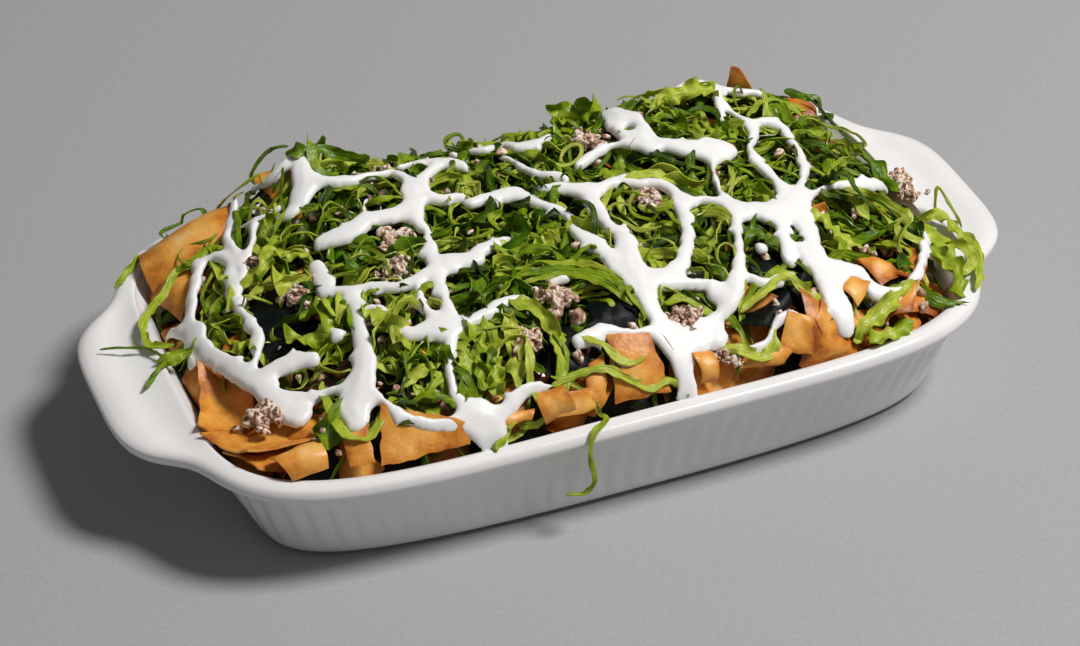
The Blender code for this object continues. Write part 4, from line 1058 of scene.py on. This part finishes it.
def ribbon_faces(count, stations, across):
    """Faces of closed ribbons: rings of points, first across the top and then back below."""
    around = 2 * across
    ring = np.arange(around)
    a = np.arange(stations - 1)[:, None] * around + ring
    b = np.arange(stations - 1)[:, None] * around + (ring + 1) % around
    sides = np.stack([a, a + around, b + around, b], axis=-1).reshape(-1, 4)
    k = np.arange(across - 1)
    start = np.stack([k, k + 1, around - 2 - k, around - 1 - k], axis=-1)
    end = start[:, ::-1] + (stations - 1) * around
    one = np.concatenate([sides, start, end])
    return (one[None] + (np.arange(count) * stations * around)[:, None, None]).reshape(-1, 4)


def drift(draws, count, share, size, turns):
    """Smooth random course along each of count shreds."""
    phase = draws.uniform(0, 2 * math.pi, (count, 1))
    rate = draws.uniform(0.5, 1.4, (count, 1)) * turns * 2 * math.pi
    return draws.normal(0, size, (count, 1)) * np.sin(phase + rate * share)


def lying_ribbons(draws, places, lengths, levels, stations, turn, hook, arch, tilt, twist):
    """Middle lines and width directions of shreds that wind, arch and twist over the heap."""
    count = len(places)
    share = np.linspace(0, 1, stations)[None]
    heading = draws.uniform(0, 2 * math.pi, (count, 1)) + drift(draws, count, share, turn, 0.7)
    heading = heading + drift(draws, count, share, 0.5 * turn, 1.6)
    heading = heading + draws.normal(0, hook, (count, 1)) * share ** 3
    step = (lengths / (stations - 1))[:, None]
    x = np.cumsum(np.cos(heading) * step, axis=1)
    y = np.cumsum(np.sin(heading) * step, axis=1)
    x = x - x.mean(axis=1, keepdims=True) + places[:, 0:1]
    y = y - y.mean(axis=1, keepdims=True) + places[:, 1:2]
    rise = drift(draws, count, share, arch, 0.7) + drift(draws, count, share, 0.6 * arch, 1.7)
    rise = rise - np.abs(draws.normal(0, 1.2, (count, 1))) * np.abs(2 * share - 1) ** 4
    z = proud_height(x, y) + levels[:, None] + rise
    lean = draws.normal(0, tilt, (count, 1)) + drift(draws, count, share, twist, 0.8)
    flat = np.cos(lean)
    ways = np.stack([-np.sin(heading) * flat, np.cos(heading) * flat, np.sin(lean)], axis=-1)
    return np.stack([x, y, z], axis=-1), ways


def waves(draws, count, span, wavelength):
    """Uneven waves of about one wavelength along each of count shreds."""
    total = np.zeros_like(span)
    for _ in range(3):
        rate = 2 * math.pi / (wavelength * draws.uniform(0.5, 1.8, (count, 1)))
        phase = draws.uniform(0, 2 * math.pi, (count, 1))
        total = total + draws.uniform(0.3, 0.9, (count, 1)) * np.sin(span * rate + phase)
    return total


def along_routes(draws, path, ways, widths, across, ruffle, wavelength, cup):
    """Closed ribbons along paths, their width lying along ways, their edges ragged and ruffled."""
    count, stations = path.shape[:2]
    tangent = unit(np.gradient(path, axis=1))
    ways = unit(ways - (ways * tangent).sum(-1, keepdims=True) * tangent)
    normal = np.cross(tangent, ways)
    share = np.linspace(0, 1, stations)
    span = np.concatenate([np.zeros((count, 1)), np.cumsum(
        np.linalg.norm(np.diff(path, axis=1), axis=-1), axis=1)], axis=1)
    taper = 1 - 0.8 * np.abs(2 * share - 1) ** draws.uniform(3, 12, (count, 1))
    half = widths[:, None] / 2 * taper * (1 + 0.15 * waves(draws, count, span, 9))
    left_half = half * (1 + 0.08 * waves(draws, count, span, 0.6 * wavelength))
    right_half = half * (1 + 0.08 * waves(draws, count, span, 0.6 * wavelength))
    u = np.linspace(-1, 1, across)[None, None, :, None]
    reach = left_half[..., None, None] * np.minimum(u, 0) + right_half[..., None, None] * np.maximum(u, 0)
    left = waves(draws, count, span, wavelength)[..., None, None] * np.maximum(-u, 0) ** 1.3
    right = waves(draws, count, span, wavelength)[..., None, None] * np.maximum(u, 0) ** 1.3
    cups = (cup * waves(draws, count, span, 3 * wavelength))[..., None, None] * u ** 2
    lift = half[..., None, None] * (cups + ruffle * (left + right))
    middle = path[:, :, None] + ways[:, :, None] * reach + normal[:, :, None] * lift
    layer = normal[:, :, None] * SHRED_THICKNESS / 2
    rings = np.concatenate([middle + layer, (middle - layer)[:, :, ::-1]], axis=2)
    edge = np.broadcast_to(u[..., 0], (count, stations, across))
    edge = np.concatenate([edge, edge[:, :, ::-1]], axis=2)
    span = np.broadcast_to((span + draws.uniform(0, 400, (count, 1)))[..., None], edge.shape)
    return rings, edge, span, ribbon_faces(count, stations, across)


def leaf_share(x, y):
    """How thickly lettuce lies over a place, from 0 to 1."""
    share = smoothstep((y + 66) / 12) * smoothstep((x + 122) / 14)
    share = share * smoothstep((1.02 - well_share(x, y, LEAF_EDGE)) / 0.3)
    for spot_x, spot_y, half_x, half_y in CLEARINGS:
        reach = np.hypot((x - spot_x) / half_x, (y - spot_y) / half_y)
        share = share * smoothstep((reach - 0.7) / 0.6)
    return share


def scatter(draws, count):
    """Places for lettuce, spread by how thickly it lies."""
    places = draws.uniform(*LEAF_FIELD, (count * 6, 2))
    kept = places[draws.uniform(size=len(places)) < leaf_share(places[:, 0], places[:, 1])]
    return kept[:count]


def even_route(route):
    """Points at even steps along a smooth curve through a route's points."""
    fine = smooth_route(route)
    stretch = np.concatenate([[0], np.cumsum(np.linalg.norm(np.diff(fine, axis=0), axis=1))])
    even = np.linspace(0, stretch[-1], PLACED_STATIONS)
    return np.stack([np.interp(even, stretch, fine[:, k]) for k in range(3)], axis=-1)


def make_placed_shreds(material):
    """The strips of lettuce that show by themselves, on the heap and over the rim."""
    draws = np.random.default_rng(SEEDS["placed"])
    count = len(PLACED_SHREDS)
    widths, ruffles, tones, routes = zip(*PLACED_SHREDS)
    path = np.array([even_route(route) for route in routes])
    x, y = path[..., 0], path[..., 1]
    ground = np.where(well_share(x, y) < 1, proud_height(x, y), RIM_HEIGHT)
    path[..., 2] += np.maximum(ground, RIM_HEIGHT)
    share = np.linspace(0, 1, PLACED_STATIONS)[None]
    tangent = unit(np.gradient(path, axis=1))
    lean = draws.normal(0, 0.25, (count, 1)) + drift(draws, count, share, 0.5, 0.8)
    sideways = unit(np.cross(tangent, (0.0, -0.35, 1.0)))
    ways = sideways * np.cos(lean)[..., None] + np.cross(sideways, tangent) * np.sin(lean)[..., None]
    ruffles = np.array(ruffles)[:, None, None, None]
    rings, edge, span, faces = along_routes(draws, path, ways, np.array(widths), 7, ruffles, 8, 0.5)
    tone = np.broadcast_to(np.array(tones)[:, None, None], edge.shape)
    new_piece("placed_shreds", rings, [faces], material, "salad", 50, edge=edge, span=span, tone=tone)


def make_lettuce(materials, poured):
    """Shreds of lettuce, from hair-thin curls to broad ruffled strips."""
    made = []
    for number, (name, values) in enumerate(SHREDS.items()):
        (count, length, width, level, stations, across, turn, hook, arch, tilt, twist, ruffle, wavelength,
         cup) = values
        draws = np.random.default_rng(SEEDS["lettuce"] + number)
        places = scatter(draws, count)
        count = len(places)
        path, ways = lying_ribbons(draws, places, draws.uniform(*length, count), draws.uniform(*level, count),
                                   stations, turn, hook, arch, tilt, twist)
        x, y, z = np.moveaxis(path, -1, 0)
        pressed = smoothstep((poured_over(poured, x, y) + 0.2) / 1.8)
        pressed = pressed * (draws.uniform(size=(count, 1)) > OVER_CREAM)
        path[..., 2] = mix(z, np.minimum(z, proud_height(x, y) + 0.6), pressed)
        rings, edge, span, faces = along_routes(
            draws, path, ways, draws.uniform(*width, count), across, ruffle, wavelength, cup)
        rings = keep_in_dish(rings)
        tone = np.broadcast_to(draws.uniform(0, 1, (count, 1, 1)), edge.shape)
        new_piece(name, rings, [faces], materials[number], "salad", 50, edge=edge, tone=tone, span=span)
        made.append(rings.reshape(-1, 3))
    return made


def map_cells(x, y):
    """Column and row of places on the height map, in cells."""
    return (x - MAP_CORNER[0]) / MAP_CELL, (y - MAP_CORNER[1]) / MAP_CELL


def top_of(clouds):
    """Height map of the highest points over the heap, spread a little and smoothed."""
    points = np.concatenate(clouds)
    columns, rows = MAP_CELLS
    column, row = map_cells(points[:, 0], points[:, 1])
    column = np.clip(column.astype(int), 0, columns - 1)
    row = np.clip(row.astype(int), 0, rows - 1)
    heights = np.full((rows, columns), MAP_FLOOR)
    np.maximum.at(heights, (row, column), points[:, 2])
    for _ in range(2):
        for axis in (0, 1):
            heights = np.maximum(heights, np.maximum(np.roll(heights, 1, axis), np.roll(heights, -1, axis)))
    for _ in range(8):
        for axis in (0, 1):
            heights = (2 * heights + np.roll(heights, 1, axis) + np.roll(heights, -1, axis)) / 4
    return heights


def sampled(grid, column, row):
    """Values between the points of a grid."""
    column = np.clip(column, 0, grid.shape[1] - 1.001)
    row = np.clip(row, 0, grid.shape[0] - 1.001)
    i = column.astype(int)
    j = row.astype(int)
    a = column - i
    b = row - j
    return ((grid[j, i] * (1 - a) + grid[j, i + 1] * a) * (1 - b)
            + (grid[j + 1, i] * (1 - a) + grid[j + 1, i + 1] * a) * b)


def smooth_route(route):
    """Points at short steps on a smooth curve through a route's points."""
    corners = [np.array(place, float) for place in route]
    corners = [2 * corners[0] - corners[1]] + corners + [2 * corners[-1] - corners[-2]]
    places = []
    for before, start, end, after in zip(corners, corners[1:], corners[2:], corners[3:]):
        steps = max(1, round(float(np.linalg.norm(end - start)) / ROUTE_STEP))
        places += [curve_point(before, start, end, after, k / steps) for k in range(steps)]
    places.append(corners[-2])
    return np.array(places)


def strand_field(x, y, route):
    """How far inside a strand each place lies, negative outside it."""
    places = smooth_route(route)
    field = np.full_like(x, -99.0)
    for start, end in zip(places, places[1:]):
        along = (end - start)[:2]
        t = ((x - start[0]) * along[0] + (y - start[1]) * along[1]) / max(along @ along, 1e-6)
        t = np.clip(t, 0, 1)
        distance = np.hypot(x - start[0] - t * along[0], y - start[1] - t * along[1])
        field = np.maximum(field, mix(start[2], end[2], t) / 2 - distance)
    return field


def spurs(strands, seed):
    """Short pointed spurs where a strand has caught on the shreds beside it."""
    draws = np.random.default_rng(seed)
    made = []
    for route in strands:
        places = smooth_route(route)
        for k in range(5, len(places) - 3, 12):
            along = unit(places[k + 1, :2] - places[k - 1, :2])
            side = np.array((-along[1], along[0])) * draws.choice((-1, 1))
            reach = places[k, 2] / 2 + draws.uniform(0.5, 2.4)
            tip = places[k, :2] + side * reach + along * draws.uniform(-3, 3)
            if places[k, 2] > 3.5:
                made.append(((*places[k, :2], 3.2), (*tip, 0.8)))
    return made


def poured_field(strands, pools, holes, web, seed):
    """Plan of a thick liquid: strands and pools that draw together where they meet."""
    x, y = np.meshgrid(np.arange(*POUR_ACROSS, POUR_GRID), np.arange(*POUR_ALONG, POUR_GRID))
    total = np.zeros_like(x)
    margin = 14.0
    for route in list(strands) + spurs(strands, seed):
        low = np.min(route, axis=0) - margin
        high = np.max(route, axis=0) + margin
        rows = slice(*np.searchsorted(y[:, 0], (low[1], high[1])))
        columns = slice(*np.searchsorted(x[0], (low[0], high[0])))
        total[rows, columns] += np.exp(strand_field(x[rows, columns], y[rows, columns], route) / web)
    for pool_x, pool_y, width in pools:
        total += np.exp((width / 2 - np.hypot(x - pool_x, y - pool_y)) / web)
    field = web * np.log(total + 1e-9)
    flat = np.stack([x, y], axis=-1)
    field = field - 0.3 + 0.4 * ripple(flat, 4.5, seed) + 0.25 * ripple(flat, 1.8, seed + 1)
    for hole_x, hole_y, width in holes:
        field = np.minimum(field, np.hypot(x - hole_x, y - hole_y) - width / 2)
    return x, y, field


def poured_over(poured, x, y):
    """How far inside the plan of a thick liquid places lie, negative outside it."""
    grid_x, grid_y, field = poured
    return sampled(field, (x - grid_x[0, 0]) / POUR_GRID, (y - grid_y[0, 0]) / POUR_GRID)


def bedded(heights, x, y):
    """Height at which cream lies: near the mean top of the heap, dipping and rising a little."""
    mean = proud_height(x, y) + CREAM_BED
    column, row = map_cells(x, y)
    return mean + np.clip(0.7 * (sampled(heights, column - 0.5, row - 0.5) - mean), -1.3, 1.0)


def pour(name, poured, ground, material, slot, thickness, edge_round, sink, voxel):
    """Body of a thick liquid lying over the ground: round at its edges, level in its middle."""
    x, y, field = poured
    slope_y, slope_x = np.gradient(field, POUR_GRID)
    steepness = np.maximum(slope_x ** 2 + slope_y ** 2, 0.2)
    outside = field <= 0
    x = np.where(outside, x - field * slope_x / steepness, x)
    y = np.where(outside, y - field * slope_y / steepness, y)
    depth = np.clip(field, 0.0, edge_round) / edge_round
    round_off = np.sqrt(np.clip(1 - (1 - depth) ** 2, 0.0, 1.0))
    fuller = 1 + 0.25 * smoothstep((field - edge_round) / 4.0)
    base = ground(x, y)
    top = base + thickness * round_off * fuller
    below = base - sink * round_off
    inside = ~outside
    wet = inside[:-1, :-1] | inside[1:, :-1] | inside[:-1, 1:] | inside[1:, 1:]
    number = np.arange(x.size).reshape(x.shape)
    cells = (number[:-1, :-1], number[:-1, 1:], number[1:, 1:], number[1:, :-1])
    upper = np.stack([corner[wet] for corner in cells], axis=-1)
    under = upper[:, ::-1] + np.where(inside.ravel(), x.size, 0)[upper[:, ::-1]]
    points = np.concatenate([np.stack([x, y, z], axis=-1).reshape(-1, 3) for z in (top, below)])
    used, faces = np.unique(np.concatenate([upper, under]), return_inverse=True)
    piece = new_piece(name, points[used], [faces.reshape(-1, 4)], material, slot)
    remesh = piece.modifiers.new("run together", "REMESH")
    remesh.mode = "VOXEL"
    remesh.voxel_size = voxel * MM
    remesh.use_smooth_shade = True
    smooth = piece.modifiers.new("level out", "SMOOTH")
    smooth.factor = 0.5
    smooth.iterations = 6
    apply_modifiers(piece)
    return piece


def apply_modifiers(piece):
    """Bake a piece's modifiers into its mesh."""
    graph = bpy.context.evaluated_depsgraph_get()
    mesh = bpy.data.meshes.new_from_object(piece.evaluated_get(graph))
    piece.modifiers.clear()
    piece.data = mesh


def make_cream(heights, poured, material):
    """Net of sour cream over the whole heap."""
    def ground(x, y):
        return bedded(heights, x, y)

    piece = pour("cream_net", poured, ground, material, "cream",
                 CREAM_THICKNESS, CREAM_ROUND, CREAM_SINK, CREAM_VOXEL)
    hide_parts("cream_drizzle")


def make_sauce(material):
    """Thin pools of brown sauce in the hollows."""
    def ground(x, y):
        return heap_height(x, y) - SAUCE_DEPTH

    poured = poured_field(SAUCE_STRANDS, SAUCE_POOLS, (), SAUCE_WEB, SEEDS["sauce"])
    pour("brown_sauce", poured, ground, material, "sauce",
         SAUCE_THICKNESS, SAUCE_ROUND, SAUCE_SINK, SAUCE_VOXEL)


def make_table(material):
    """Level table top under the dish, far wider than it."""
    mesh = bpy.data.meshes.new("table")
    corners = [(-1, -1, 0), (1, -1, 0), (1, 1, 0), (-1, 1, 0)]
    mesh.from_pydata([Vector(corner) * TABLE_REACH * MM for corner in corners], [], [(0, 1, 2, 3)])
    mesh.materials.append(material)
    table = in_scene("table", mesh)


def aim(thing, place, target, roll=0.0):
    """Put a lamp or camera at a place, looking at a target, both in millimetres."""
    back = (Vector(place) - Vector(target)).normalized()
    right = Vector((0, 0, 1)).cross(back).normalized()
    up = back.cross(right)
    turn = math.radians(roll)
    turned = math.cos(turn) * right + math.sin(turn) * up
    up = back.cross(turned)
    rotation = Matrix((turned, up, back)).transposed().to_4x4()
    thing.matrix_world = Matrix.Translation(Vector(place) * MM) @ rotation


def make_camera():
    """Camera on the near left, looking down on the dish."""
    camera = in_scene("camera", bpy.data.cameras.new("camera"))
    camera.data.sensor_width = SENSOR
    camera.data.lens = LENS
    camera.data.clip_end = SIGHT_METRES
    high = math.radians(ELEVATION)
    way = math.radians(AZIMUTH)
    back = Vector((math.sin(way) * math.cos(high), -math.cos(way) * math.cos(high), math.sin(high)))
    aim(camera, Vector(LOOK_AT) + back * DISTANCE, LOOK_AT, ROLL)
    bpy.context.scene.camera = camera


def make_lights():
    """Soft key lamp high on the right, in a dim grey room."""
    lamp = in_scene("key lamp", bpy.data.lights.new("key lamp", "AREA"))
    lamp.data.shape = "DISK"
    lamp.data.size = KEY_WIDTH * MM
    lamp.data.energy = KEY_POWER
    lamp.data.color = linear(KEY_COLOUR)[:3]
    aim(lamp, KEY_PLACE, (0, 0, 20))
    world = bpy.data.worlds.new("studio")
    bpy.context.scene.world = world
    world.use_nodes = True
    world.node_tree.nodes["Background"].inputs["Color"].default_value = linear(ROOM_COLOUR)
    world.node_tree.nodes["Background"].inputs["Strength"].default_value = ROOM_STRENGTH
    bpy.context.scene.view_settings.view_transform = "Standard"


def build():
    """The whole scene, from the table up."""
    make_camera()
    make_lights()
    make_table(table_top())
    make_dish(glazed_porcelain())
    make_core(shaded_inside())
    leaves = [
        lettuce_leaf("lettuce in the shade", (
            (0.0, "#233406"), (0.35, "#3e560a"), (0.65, "#5d7510"), (1.0, "#85981f")), 0.1),
        lettuce_leaf("cut lettuce", (
            (0.0, "#2f4a06"), (0.32, "#668c0c"), (0.60, "#a0b91e"), (0.95, "#d3dd54")), 0.15),
        lettuce_leaf("fine cut lettuce", (
            (0.0, "#3d5807"), (0.32, "#759710"), (0.60, "#a8be24"), (0.95, "#dae266")), 0.1),
        lettuce_leaf("broad lettuce", (
            (0.0, "#2a4606"), (0.35, "#58840c"), (0.65, "#90ae1c"), (1.0, "#c6d444")), 0.35),
    ]
    crisp = fried_dough()
    clouds = make_crisps(crisp) + [make_tucked_in_crisps(crisp)] + make_seaweed(dried_seaweed())
    meat = crumbled_meat()
    clouds += make_meat(meat) + [make_loose_crumbs(meat)]
    poured = poured_field(STRANDS, POOLS, HOLES, CREAM_WEB, SEEDS["cream"])
    clouds += make_lettuce(leaves, poured)
    make_placed_shreds(leaves[1])
    make_sauce(brown_sauce())
    make_cream(top_of(clouds), poured, sour_cream())


build()
